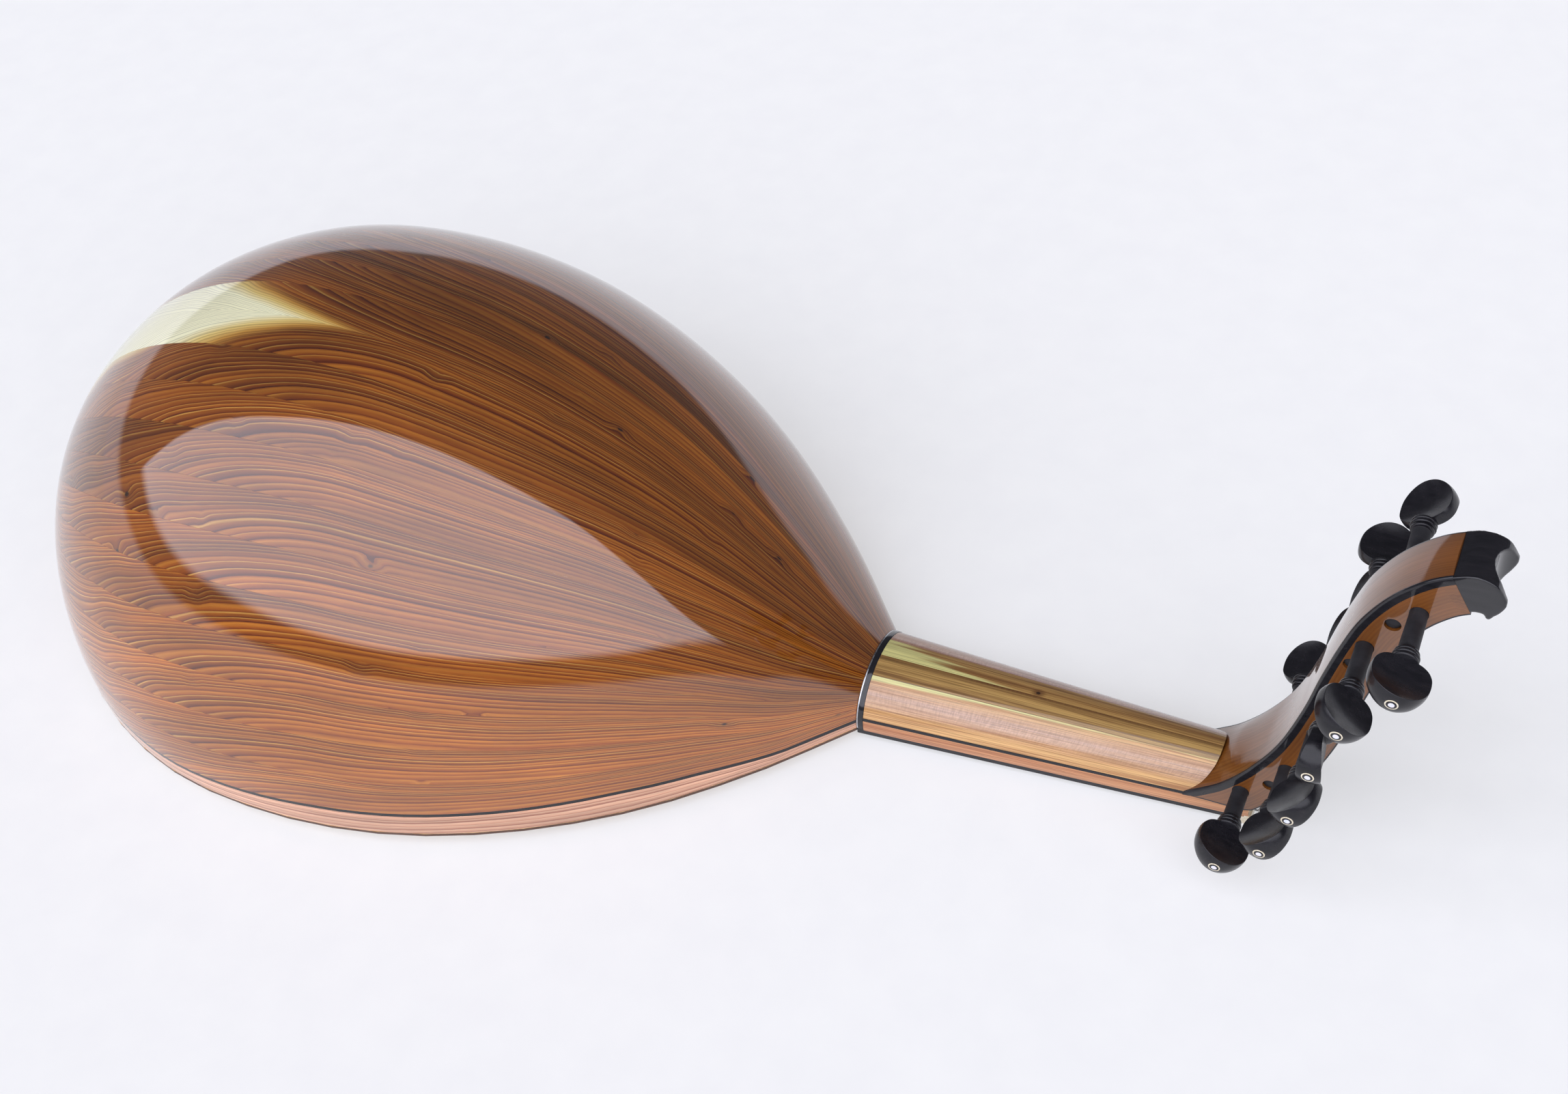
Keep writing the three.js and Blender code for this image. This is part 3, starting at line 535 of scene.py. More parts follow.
MATERIALS = {
    "yew": yew("lacquered_yew", YEW_RINGS, YEW_GLINT, RING_WIDTH),
    "yew_edge": yew("lacquered_edge_yew", EDGE_RINGS, EDGE_GLINT, EDGE_RING_WIDTH),
    "pegbox": pegbox_wood("lacquered_pegbox_wood"),
    "ebony": ebony("polished_ebony", 0.16, 0.9, shine=0.2),
    "board_ebony": ebony("fingerboard_ebony", 0.38, 0.0, 0.1),
    "peg_ebony": ebony("satin_peg_ebony", 0.19, 0.0, 0.03, 0.40),
    "lacquer_black": ebony("lacquered_black_wood", 0.25, 0.7, shine=0.15),
    "shaft": ebony("dull_shaft_ebony", 0.55, 0.0, 0.25),
    "spruce": plain_wood("brace_spruce", (0.76, 0.56, 0.31), (0.60, 0.38, 0.17), 0.5),
    "soundboard": plain_wood(
        "soundboard_spruce", (0.78, 0.54, 0.26), (0.58, 0.33, 0.12), 0.42,
        coat=0.2, side=(0.06, 0.022, 0.010),
    ),
    "walnut": plain_wood("oiled_walnut", (0.16, 0.07, 0.03), (0.07, 0.026, 0.011), 0.4),
    "block": plain_wood("block_wood", (0.70, 0.50, 0.29), (0.52, 0.34, 0.18), 0.68, (8, 260, 260)),
    "bone": bone("polished_bone"),
    "pearl": pearl("pearl_dot"),
    "silver": silver("silver_line"),
    "wound": string_stuff("wound_string", (0.20, 0.20, 0.21), (0.66, 0.66, 0.68), True),
    "nylon": string_stuff("nylon_string", (0.66, 0.62, 0.53), (0.78, 0.75, 0.67), False),
    "floor": floor_paint("pale_floor"),
}


def placed(name, data):
    """A new object in the scene."""
    piece = bpy.data.objects.new(name, data)
    bpy.context.scene.collection.objects.link(piece)
    return piece


def paint(mesh, material):
    mesh.materials.clear()
    mesh.materials.append(MATERIALS[material])


def smooth_but_edges(mesh, edge_angle):
    """Smooth shading, but for edges sharper than an angle in degrees."""
    mesh.polygons.foreach_set("use_smooth", [True] * len(mesh.polygons))
    mesh.set_sharp_from_angle(angle=math.radians(edge_angle))


def write_vectors(mesh, name, values):
    layer = mesh.attributes.new(name, "FLOAT_VECTOR", "POINT")
    layer.data.foreach_set("vector", np.asarray(values, np.float32).ravel())


def adopt(mesh, name, material, replaced=(), body=BODY):
    """Makes a piece of a mesh that rides on a body, and may stand for CAD nodes."""
    mesh.name = name
    paint(mesh, material)
    piece = placed(name, mesh)
    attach(piece, body)
    if replaced:
        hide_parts(*replaced)


def plain_mesh(points, faces, edge_angle=40):
    """A mesh of the instrument's frame, smooth but for edges sharper than an angle."""
    mesh = bpy.data.meshes.new("piece")
    mesh.from_pydata(standing(points).tolist(), [], faces)
    work = bmesh.new()
    work.from_mesh(mesh)
    bmesh.ops.recalc_face_normals(work, faces=work.faces)
    work.to_mesh(mesh)
    work.free()
    smooth_but_edges(mesh, edge_angle)
    return mesh


# Points well inside the bowl and the neck, which tell a plate's outside from its inside
BOWL_MIDDLE = (240.0, 0.0, 3.0)
NECK_MIDDLE = (580.0, 0.0, 3.0)


def plate_faces(index):
    """The quads of a closed plate over a grid of points: outside, and its rim's walls."""
    corners = index[:-1, :-1], index[1:, :-1], index[1:, 1:], index[:-1, 1:]
    border = np.concatenate([index[0], index[1:, -1], index[-1, -2::-1], index[-2:0:-1, 0]])
    after = np.roll(border, -1)
    walls = np.stack([border, after, after + index.size, border + index.size], -1)
    return np.stack(corners, -1).reshape(-1, 4), walls


def shell(surface, rows, columns, thickness, grain, tone=None, inside=BOWL_MIDDLE, step=1e-4):
    """A closed plate on a surface given by two parameters, with its grain and tone as attributes
    for the material. Its outside keeps the surface's own normals, so that neighbouring plates
    reflect as one surface."""
    u, v = np.meshgrid(rows, columns, indexing="ij")
    outer = surface(u, v)
    along = surface(u + step, v) - surface(u - step, v)
    across = surface(u, v + 1e-4) - surface(u, v - 1e-4)
    normal = np.cross(along, across)
    normal /= np.maximum(np.linalg.norm(normal, axis=-1, keepdims=True), 1e-12)
    middle = inside(u, v) if callable(inside) else inside
    if np.mean(np.sum(normal * (outer - middle), -1)) < 0:
        normal = -normal
    depth = thickness(u, v)[..., None] if callable(thickness) else thickness
    inner = outer - normal * depth
    points = standing(np.concatenate([outer.reshape(-1, 3), inner.reshape(-1, 3)]))
    outward = tipped(normal.reshape(-1, 3))

    top, walls = plate_faces(np.arange(u.size).reshape(u.shape))
    sample = top[len(columns) // 2]
    a, b, c = points[sample[:3]]
    if np.cross(b - a, c - a) @ outward[sample[0]] < 0:
        top, walls = top[:, ::-1], walls[:, ::-1]
    under = top[:, ::-1] + u.size
    mesh = bpy.data.meshes.new("plate")
    mesh.from_pydata(points.tolist(), [], [*top.tolist(), *under.tolist(), *walls.tolist()])
    for name, values in (("grain", grain), ("tone", tone)):
        if values:
            one_side = np.broadcast_to(stacked(*values(u, v)), (*u.shape, 3)).reshape(-1, 3)
            write_vectors(mesh, name, np.tile(one_side, (2, 1)))

    # The two sides take the surface's normals, and the walls their own
    loops = np.zeros(len(mesh.loops), int)
    mesh.loops.foreach_get("vertex_index", loops)
    normals = np.concatenate([outward, -outward])[loops]
    flat = np.zeros(len(mesh.polygons) * 3)
    mesh.polygons.foreach_get("normal", flat)
    first_wall = 2 * len(top)
    normals[4 * first_wall:] = np.repeat(flat.reshape(-1, 3)[first_wall:], 4, axis=0)
    smooth_but_edges(mesh, 50)
    mesh.normals_split_custom_set(normals.tolist())
    return mesh


def closed_loft(sections):
    """Points and faces of a skin over a row of closed sections, capped at both ends."""
    count = len(sections[0])
    last = (len(sections) - 1) * count
    faces = []
    for start in range(0, last, count):
        for i in range(count):
            a, b = start + i, start + (i + 1) % count
            faces.append([a, b, b + count, a + count])
    faces.append(list(range(count))[::-1])
    faces.append(list(range(last, last + count)))
    return np.concatenate(sections), faces


def circle(centre, radius, first, second, sides):
    """A round section between two directions at right angles."""
    turn = np.linspace(0, 2 * math.pi, sides, endpoint=False)[:, None]
    return centre + radius * (np.cos(turn) * first + np.sin(turn) * second)


def run_along(points):
    """How far along a line each of its points is."""
    return np.concatenate([[0], np.cumsum(np.linalg.norm(np.diff(points, axis=0), axis=1))])


def catmull_rom(points, steps, power=0.5):
    """A Catmull-Rom curve from the second point to the last but one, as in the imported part:
    centripetal, or uniform when the power is 0."""
    points = np.array(points, float)
    curve = []
    for p0, p1, p2, p3 in zip(points, points[1:], points[2:], points[3:]):
        d0, d1, d2 = (np.linalg.norm(b - a) ** power for a, b in ((p0, p1), (p1, p2), (p2, p3)))
        t1 = ((p1 - p0) / d0 - (p2 - p0) / (d0 + d1) + (p2 - p1) / d1) * d1
        t2 = ((p2 - p1) / d1 - (p3 - p1) / (d1 + d2) + (p3 - p2) / d2) * d1
        square, cubic = -3 * p1 + 3 * p2 - 2 * t1 - t2, 2 * p1 - 2 * p2 + t1 + t2
        for t in np.arange(steps) / steps:
            curve.append(p1 + t1 * t + (square * t**2 + cubic * t**3))
    return np.array([*curve, points[-2]])


def run_out(points):
    """Points with one more at their end, as far on as the last step."""
    *_, before, last = np.array(points, float)
    return [*points, 2 * last - before]


SIDE = [(x * BODY_LENGTH, y * BODY_HALF_WIDTH) for x, y in OUTLINE_SHARES]
SIDE = run_out([(SIDE[0][0], -SIDE[0][1]), (0, 0), *SIDE, (BODY_LENGTH, HEEL_HALF_WIDTH)])
OUTLINE = catmull_rom(SIDE, 120)
OUTLINE_RUN = run_along(OUTLINE)
OUTLINE_LENGTH = OUTLINE_RUN[-1]
OUTLINE_END = (OUTLINE[-1] - OUTLINE[-2]) / np.linalg.norm(OUTLINE[-1] - OUTLINE[-2])
LEAST_HALF_WIDTH = 0.05


def outline(share):
    """Place along the body and half width at a share of the outline's length."""
    run = share * OUTLINE_LENGTH
    beyond = np.maximum(run - OUTLINE_LENGTH, 0)
    x = np.interp(run, OUTLINE_RUN, OUTLINE[:, 0]) + beyond * OUTLINE_END[0]
    half = np.interp(run, OUTLINE_RUN, OUTLINE[:, 1]) + beyond * OUTLINE_END[1]
    return x, np.maximum(half - INSET, LEAST_HALF_WIDTH)


def depth_ratio(x):
    """The bowl's depth as a share of its half width, which changes toward the heel."""
    whole = (BODY_DEPTH - RIM - INSET) / BODY_HALF_WIDTH
    heel = (HEEL_DEPTH - RIM) / HEEL_HALF_WIDTH
    blend = np.maximum(0, (x / BODY_LENGTH - HEEL_BLEND_FROM) / (1 - HEEL_BLEND_FROM))
    return whole + (heel - whole) * blend**2


def bowl(share, angle):
    """The bowl's outside; the angle runs round it from the bass rim to the treble rim."""
    x, half = outline(share)
    z = RIM + depth_ratio(x) * half * np.sin(angle)
    return stacked(x, -half * np.cos(angle), z)


def purfling_angle(share, height_change=0.0):
    """The angle round the bowl at which the purfling runs."""
    x, half = outline(share)
    height = np.interp(x, PURFLING_PLACES, PURFLING_HEIGHTS) + height_change - RIM
    reach = depth_ratio(x) * half
    sine = np.clip(height / np.maximum(reach, PURFLING_LEAST_BOWL), 0, 0.9)
    return np.where(reach > PURFLING_LEAST_BOWL, np.arcsin(sine), PURFLING_TAIL_ANGLE)


def joint_angle(share, index):
    """The joint below rib index + 1, counted from the bass side."""
    edge = purfling_angle(share, PURFLING_WIDTH)
    return edge + (math.pi - 2 * edge) * index / RIB_COUNT


TAIL_SHARE = 0.0022
ROW_SHARES = np.concatenate([
    np.linspace(TAIL_SHARE, 0.03, 7)[:-1],
    np.linspace(0.03, 0.12, 9)[:-1],
    np.linspace(0.12, 0.9, 44)[:-1],
    np.linspace(0.9, 1.0, 9),
])
SHARE_STEP = 0.002
TAIL_THICKNESS = 0.3
THICKENING = 0.3


def band_surface(low, high):
    """The bowl's surface between two lines; the second parameter runs from 0 to 1."""

    def surface(share, part):
        start, end = low(share), high(share)
        return bowl(share, start + (end - start) * part)

    return surface


def thin_at_tail(share, part):
    return np.minimum(RIB_THICKNESS, TAIL_THICKNESS + outline(share)[1] * THICKENING)


# How much sapwood shows on the ribs round the middle, counted from the bass side, and how it
# ends along them, in metres
SAP_REACH = {10: -0.047, 11: 0.0018, 12: 0.0026, 13: -0.049}
SAP_FROM = 0.18
SAP_FALL = 0.12
NO_SAP = -1.0

# Half the joint between two ribs, as an angle, and the ribs' lightness: it varies by chance,
# falls from the bass side to the middle, partly the wood's own tone and partly painted shade,
# and is raised on the lowest ribs of the bass side by a painted reflection of the floor
RIB_GAP = 0.000125
RIB_CHANCE = 0.08
RIB_DARKENING_AND_PAINTED_SHADE = 0.027
LOW_RIB_PAINTED_REFLECTION = 0.22
PAINTED_REFLECTION_RIBS = 6
CENTRE_RIB = (RIB_COUNT + 1) // 2

# The figure gets finer toward the heel
FINER_FROM, FINER_OVER, FINER_BY = 0.55, 0.42, 1.1


def add_rib(number, chance):
    """A rib of the bowl, counted from the bass side."""
    sign = -1 if number >= CENTRE_RIB else 1
    seed = 4.0 + 0.36 * abs(number - CENTRE_RIB + 0.5) + (9 if sign < 0 else 0)
    # Painted shade: the ribs darken toward the middle, partly their own tone and partly painted
    # shade
    light = chance - RIB_DARKENING_AND_PAINTED_SHADE * min(number, CENTRE_RIB)
    # Painted reflection of the floor: the lowest ribs of the bass side are made lighter
    light += LOW_RIB_PAINTED_REFLECTION * max(0.0, 1 - number / PAINTED_REFLECTION_RIBS)

    def grain(share, part):
        wide = outline(share)[1] * (math.pi / RIB_COUNT)
        finer = 1 + FINER_BY * np.clip((share - FINER_FROM) / FINER_OVER, 0, 1)
        across = sign * (part - 0.5) * wide * finer
        return share * OUTLINE_LENGTH / 1000, across / 1000, seed

    def tone(share, part):
        beyond = np.maximum(share * OUTLINE_LENGTH / 1000 - SAP_FROM, 0)
        sap = SAP_REACH.get(number, NO_SAP) - SAP_FALL * beyond
        return sap, light, 1

    surface = band_surface(
        lambda share: joint_angle(share, number - 1) + RIB_GAP,
        lambda share: joint_angle(share, number) - RIB_GAP,
    )
    columns = np.linspace(0, 1, 6)
    mesh = shell(surface, ROW_SHARES, columns, thin_at_tail, grain, tone, step=SHARE_STEP)
    adopt(mesh, f"bowl_rib_{number:02d}", "yew", replaced=[f"rib_{number:02d}"])


def add_ribs():
    generator = np.random.default_rng(11)
    for number in range(1, RIB_COUNT + 1):
        add_rib(number, float(generator.uniform(-RIB_CHANCE, RIB_CHANCE)))


def rim_band(low, high, side):
    """A band near the rim on the bass side, or its mirror image on the treble side."""
    if side == "bass":
        return band_surface(low, high)
    return band_surface(lambda s: math.pi - high(s), lambda s: math.pi - low(s))


# How wide an edge rib's figure is drawn, in metres, its lightness and how far it leans
EDGE_FIGURE = 0.014
EDGE_LIGHT = 0.1
EDGE_LEAN = 0.08
PURFLING_THICKNESS = 1.6


def add_edge_ribs():
    """The lighter rib along each rim, and the purfling line above it."""
    line_high = lambda share: purfling_angle(share, PURFLING_WIDTH)
    tone = lambda share, part: (NO_SAP, EDGE_LIGHT, EDGE_LEAN)
    for side, seed in (("bass", 31.0), ("treble", 37.0)):

        def grain(share, part, seed=seed):
            return share * OUTLINE_LENGTH / 1000, (part - 0.5) * EDGE_FIGURE, seed

        surface = rim_band(lambda share: 0.0, purfling_angle, side)
        columns = np.linspace(0, 1, 5)
        mesh = shell(surface, ROW_SHARES, columns, thin_at_tail, grain, tone, step=SHARE_STEP)
        adopt(mesh, f"edge_band_{side}", "yew_edge", replaced=[f"edge_rib_{side}"])
        surface, columns = rim_band(purfling_angle, line_high, side), np.linspace(0, 1, 3)
        mesh = shell(surface, ROW_SHARES, columns, PURFLING_THICKNESS, grain, step=SHARE_STEP)
        adopt(mesh, f"purfling_{side}", "lacquer_black")


# The binding on the soundboard's face: its start at the tail, and its section, in from the rim
# and up
BINDING_SHARE = 0.0004
BINDING_SECTION = [(0.1, 0.4), (0.1, 0.0), (0.25, -0.06), (2.4, -0.06), (2.4, 0.4)]


def add_board_edge():
    """The binding's strip on the soundboard's face, close to its edge."""
    x, half = outline(np.array([BINDING_SHARE, *ROW_SHARES]))
    rim = np.concatenate([stacked(x, half)[::-1], stacked(x, -half)])
    along = np.gradient(rim, axis=0)
    inward = stacked(-along[:, 1], along[:, 0])
    inward /= np.linalg.norm(inward, axis=1, keepdims=True)
    sections = [
        np.array([[*(p + n * depth), z] for depth, z in BINDING_SECTION])
        for p, n in zip(rim, inward)
    ]
    adopt(plain_mesh(*closed_loft(sections)), "soundboard_binding", "walnut")


def neck_half(x):
    return HEEL_HALF_WIDTH + (NUT_HALF_WIDTH - HEEL_HALF_WIDTH) * (x - BODY_LENGTH) / NECK_LENGTH


def neck_point(x, angle, proud=0.0):
    """A point of the neck's round back, or proud of it."""
    depth = HEEL_DEPTH + (NUT_DEPTH - HEEL_DEPTH) * (x - BODY_LENGTH) / NECK_LENGTH - NECK_FACE
    y = -(neck_half(x) + proud) * np.cos(angle)
    return stacked(x, y, NECK_FACE + (depth + proud) * np.sin(angle))


RING_START = 485.3
RING_END = 488.6
RING_MIDDLE = (RING_START + RING_END) / 2
RING_HALF = 2.2
RING_CREST = 0.35
RING_THICKNESS = 6.0
SILVER_FROM, SILVER_TO = 0.05, 0.65
SILVER_THICKNESS = 1.0
NECK_START = RING_END + PIECE_GAP
NECK_END = 681.2

# Where the neck ends against the pegbox's root, by height
NECK_END_HEIGHTS = [2.5, 8.4, 13, 20, 24, 26.5, 27.4]
NECK_END_PLACES = [648.0, 650.5, 655.0, 660.0, 662.3, 663.2, 663.4]


def add_heel_ring():
    """The black band between bowl and neck, and the silver line on its bowl side."""

    def ring(x, angle):
        return neck_point(x, angle, RING_CREST * (1 - ((x - RING_MIDDLE) / RING_HALF) ** 2))

    grain = lambda x, angle: (x / 1000, angle * 0.028, 5)
    angles = np.linspace(0, math.pi, 65)
    rows = np.linspace(RING_START + SILVER_TO + 0.05, RING_END, 6)
    mesh = shell(ring, rows, angles, RING_THICKNESS, grain, inside=NECK_MIDDLE)
    adopt(mesh, "heel_ring_plate", "ebony", replaced=["heel_ring"])
    rows = np.linspace(RING_START + SILVER_FROM, RING_START + SILVER_TO, 3)
    mesh = shell(ring, rows, angles, SILVER_THICKNESS, grain, inside=NECK_MIDDLE)
    adopt(mesh, "heel_silver_line", "silver")


# The neck's strips: from one angle to another in degrees, the light, dark and blush colours,
# how pale a strip is at first, with its falls across, across and along together, and along, and
# how blushed it is at most, with its fall to both sides and where its middle lies
LINE_LOW, LINE_HIGH = 12.5, 16.5
LINE_END = 652.0
SIDE_FOOT = -3.2
SIDE_PROUD = 0.1
VENEER_THICKNESS = 1.2
STRIP_GAP = 0.002
PALE = (0.66, 0.61, 0.24)
BLUSH = (0.50, 0.32, 0.23)
SHADOW = (0.12, 0.050, 0.015)
STRIPS = [
    ("low_bass", LINE_HIGH, 66, (0.66, 0.39, 0.155), (0.38, 0.17, 0.060), BLUSH,
     (0.95, 3.6, 2.4, 0.4), (1.5, 4.5, 0.42)),
    ("mid_bass", 66, 90, (0.44, 0.27, 0.085), (0.20, 0.100, 0.030), SHADOW,
     (0.1, 0, 0, 0.1), (1.3, 4, 0)),
    ("mid_treble", 90, 114, (0.40, 0.23, 0.070), (0.22, 0.100, 0.030), None,
     (1.25, 0.75, 0, 2.5), (0, 0, 0)),
    ("low_treble", 114, 180 - LINE_HIGH, (0.42, 0.19, 0.080), (0.24, 0.090, 0.042), BLUSH,
     (0.35, 3, 0, 0), (1.2, 3, 0)),
]
NECK_KNOT = (0.0823, 0.0020)

# The strips' figure, in metres
FIGURE_LENGTH = 0.175
FIGURE_RADIUS = 0.026


def add_strip(name, low, high, light, dark, blush, paleness, blushing):
    """One veneer of the neck, from the heel ring to the pegbox's root."""
    start, end = math.radians(low) + STRIP_GAP, math.radians(high) - STRIP_GAP
    material = "veneer_" + name
    knot = NECK_KNOT if name == "mid_treble" else None
    MATERIALS[material] = veneer(material, light, dark, PALE, blush, knot)

    def surface(part, across):
        angle = start + (end - start) * across
        height = neck_point(np.full_like(angle, 655.0), angle)[..., 2]
        last = np.interp(height, NECK_END_HEIGHTS, NECK_END_PLACES)
        return neck_point(NECK_START + (last - RING_END - PIECE_GAP) * part, angle)

    def grain(part, across):
        angle = start + (end - start) * across
        return part * FIGURE_LENGTH, (angle - math.pi / 2) * FIGURE_RADIUS, low * 0.37

    def tone(part, across):
        from_middle = 1 - across if name.endswith("bass") else across
        first, across_fall, both_fall, along_fall = paleness
        pale = first - from_middle * (across_fall + both_fall * part) - along_fall * part
        most, fall, middle = blushing
        return pale, np.clip(most - np.abs(from_middle - middle) * fall, 0, 1), 0

    rows, columns = np.linspace(0, 1, 24), np.linspace(0, 1, 14)
    mesh = shell(surface, rows, columns, VENEER_THICKNESS, grain, tone, inside=NECK_MIDDLE)
    adopt(mesh, "neck_strip_" + name, material)


def add_neck_sides():
    """The reddish side strips, which run on under the pegbox, and the black lines above them."""
    MATERIALS["side_wood"] = veneer("neck_side_wood", (0.58, 0.27, 0.115), (0.40, 0.15, 0.060))
    grain = lambda x, across: (x / 1000, across * 0.006, 12)
    tone = lambda x, across: (0, 0, 0)
    columns = np.linspace(0, 1, 5)
    for side, _ in SIDES:
        for name, low, high, last, material in (
            ("side_strip", SIDE_FOOT, LINE_LOW, NECK_END, "side_wood"),
            ("side_line", LINE_LOW, LINE_HIGH, LINE_END, "lacquer_black"),
        ):
            start, end = math.radians(low), math.radians(high)

            def surface(x, across, start=start, end=end, side=side):
                angle = start + (end - start) * across
                return neck_point(x, math.pi - angle if side == "treble" else angle, SIDE_PROUD)

            rows = np.linspace(NECK_START, last, 24)
            mesh = shell(surface, rows, columns, VENEER_THICKNESS, grain, tone, inside=NECK_MIDDLE)
            adopt(mesh, f"neck_{name}_{side}", material)


# How far the core lies below the veneers and clear of its neighbours, and the tongue's start
# before the pegbox's root with its top's gap below the pegbox
CORE_DEPTH = 0.9
CORE_START, CORE_END = RING_END + 0.4, NECK_END - 0.2
TONGUE_LEAD = 2
TONGUE_GAP = 0.35


def add_neck_core():
    """The wood under the veneers, and its tongue under the pegbox as far as the nut."""
    angles = np.linspace(0, math.pi, 33)
    sections = []
    for x in np.linspace(CORE_START, CORE_END, 30):
        ring = neck_point(x, angles, -CORE_DEPTH)
        ring[:, 2] = np.maximum(ring[:, 2], NECK_FACE)
        if x > NECK_END_PLACES[0] - TONGUE_LEAD:
            ring[:, 2] = np.minimum(ring[:, 2], TONGUE_DEPTH - TONGUE_GAP)
        sections.append(ring)
    mesh = plain_mesh(*closed_loft(sections))
    adopt(mesh, "neck_core", "block", replaced=["neck"])


BACK = [
    (ROOT_TIP[0] + along * PEGBOX_RUN, ROOT_TIP[1] + up * PEGBOX_RISE)
    for along, up in BACK_CURVE_SHARES
]
BACK = catmull_rom([BACK[0], *BACK, BACK[-1]], 12, power=0)
BACK_RUN = run_along(BACK)
BACK_LENGTH = BACK_RUN[-1]
BACK_STEP = 0.012


def back_at(share):
    run = share * BACK_LENGTH
    return np.interp(run, BACK_RUN, BACK[:, 0]), np.interp(run, BACK_RUN, BACK[:, 1])


def back_frame(share):
    """A point on the back curve, and the unit vector into the pegbox."""
    x, z = back_at(share)
    x1, z1 = back_at(np.clip(share + BACK_STEP, 0, 1))
    x0, z0 = back_at(np.clip(share - BACK_STEP, 0, 1))
    length = np.hypot(x1 - x0, z1 - z0)
    return x, z, (z1 - z0) / length, -(x1 - x0) / length


def pegbox_half(z):
    return PEGBOX_ROOT_HALF - PEGBOX_NARROWING * z


def pegbox_point(share, inward, inset, side):
    """A point at a depth into the pegbox from its back, and an inset from its outside."""
    x, z, nx, nz = back_frame(share)
    px, pz = x + nx * inward, z + nz * inward
    return stacked(px, side * (pegbox_half(pz) - inset), pz)


# The black bands along the back's edges, and the borders along the cheeks' front edges
ARRIS_RADIUS = 1.3
BORDER_WIDTH = 1.5
BAND_DEPTH = 4.0
BAND_FOOT = 8.2
BAND_THICKNESS = 1.1
BAND_OVERLAP = 0.2
FRONT_BORDER = 0.8

# The crown of the back: its height, the share of it that the plate has, and how much it gains
# toward the root, from a height down
CROWN = 0.7
CROWN_SHOWN = 0.9
ROOT_CROWN = 3.6
ROOT_CROWN_FROM, ROOT_CROWN_OVER = 52, 24
ROOT_SHARE = 0.004

# How much thinner the back plate is than its solid
PLATE_SLACK = 0.6


def crown(share):
    """How far the back stands proud in its middle, which fades above the root."""
    near_root = np.clip((ROOT_CROWN_FROM - back_at(share)[1]) / ROOT_CROWN_OVER, 0, 1)
    return CROWN + ROOT_CROWN * near_root**1.2


def plate_surface(share, across):
    """The crowned back between the two edge bands."""
    x, z, nx, nz = back_frame(share)
    half = pegbox_half(z) - BORDER_WIDTH
    proud = crown(share) * (1 - across**2) * CROWN_SHOWN - INSET
    return stacked(x - nx * proud, across * half, z - nz * proud)


def band_depth(share):
    """How far the black edge band comes down the cheek: less where it runs out at the root."""
    return np.clip(back_at(share)[1] - BAND_FOOT, ARRIS_RADIUS + 0.1, BAND_DEPTH)


def band_profile(share, part):
    """The black edge band's section: across the back, round the arris and down the cheek."""
    flat = BORDER_WIDTH - ARRIS_RADIUS
    turn = ARRIS_RADIUS * math.pi / 2
    run = part * (flat + turn + (band_depth(share) - ARRIS_RADIUS))
    angle = np.clip((run - flat) / ARRIS_RADIUS, 0, math.pi / 2)
    inset = ARRIS_RADIUS * (1 - np.sin(angle)) + np.maximum(flat - run, 0)
    inward = ARRIS_RADIUS * (1 - np.cos(angle)) + np.maximum(run - flat - turn, 0)
    return inset, inward


def add_pegbox_back():
    grain = lambda share, across: (share * BACK_LENGTH / 1000, across * 0.018, 2.5)
    under = lambda share, across: pegbox_point(share, 2.0, pegbox_half(30) * (1 - across), 1)
    rows, columns = np.linspace(ROOT_SHARE, FINIAL_START, 70), np.linspace(-1, 1, 25)
    mesh = shell(plate_surface, rows, columns, PLATE_THICKNESS - PLATE_SLACK, grain, inside=under)
    adopt(mesh, "pegbox_back_plate", "pegbox", replaced=["pegbox_back"])
    columns = np.linspace(0, 1, 15)
    for side, sign in SIDES:

        def band(share, part, sign=sign):
            inset, inward = band_profile(share, part)
            return pegbox_point(share, inward + INSET, inset + INSET, sign)

        within = lambda share, part, sign=sign: pegbox_point(share, 4.0, 3.0, sign)
        mesh = shell(band, rows, columns, BAND_THICKNESS, grain, inside=within)
        adopt(mesh, "pegbox_edge_band_" + side, "lacquer_black")


def modified(piece, modifiers):
    """The mesh that a scratch object has under modifiers. The object goes."""
    for kind, settings in modifiers:
        modifier = piece.modifiers.new(kind.lower(), kind)
        for key, value in settings.items():
            setattr(modifier, key, value)
    bpy.context.view_layer.update()
    graph = bpy.context.evaluated_depsgraph_get()
    mesh = bpy.data.meshes.new_from_object(piece.evaluated_get(graph))
    bpy.data.objects.remove(piece)
    return mesh


def carved(points, faces, cutters):
    """A mesh with cutters taken out of it."""
    cut = {"operation": "DIFFERENCE", "solver": "EXACT"}
    blank = placed("blank", plain_mesh(points, faces))
    return modified(blank, [("BOOLEAN", {**cut, "object": cutter}) for cutter in cutters])


def rod(start, end, radius, sides=28):
    """A round rod between two points, to cut with."""
    start, end = np.array(start, float), np.array(end, float)
    axis = (end - start) / np.linalg.norm(end - start)
    first = np.cross(axis, (0, 0, 1) if abs(axis[2]) < 0.9 else (1, 0, 0))
    first /= np.linalg.norm(first)
    second = np.cross(axis, first)
    sections = [circle(place, radius, first, second, sides) for place in (start, end)]
    return placed("cutter", plain_mesh(*closed_loft(sections)))


def peg_list():
    pegs = []
    for (side, sign), shares in zip(SIDES, (BASS_PEGS, TREBLE_PEGS)):
        for number, (along, up, stand, turn) in enumerate(shares, 1):
            x, z = ROOT_TIP[0] + along * PEGBOX_RUN, ROOT_TIP[1] + up * PEGBOX_RISE
            pegs.append({
                "name": f"peg_{side}_{number}", "sign": sign, "x": x, "z": z,
                "stand": stand * PEG_STAND, "turn": math.radians(turn),
            })
    return pegs


PEGS = peg_list()


def peg_radius(outward):
    return PEG_RADIUS + outward * PEG_TAPER


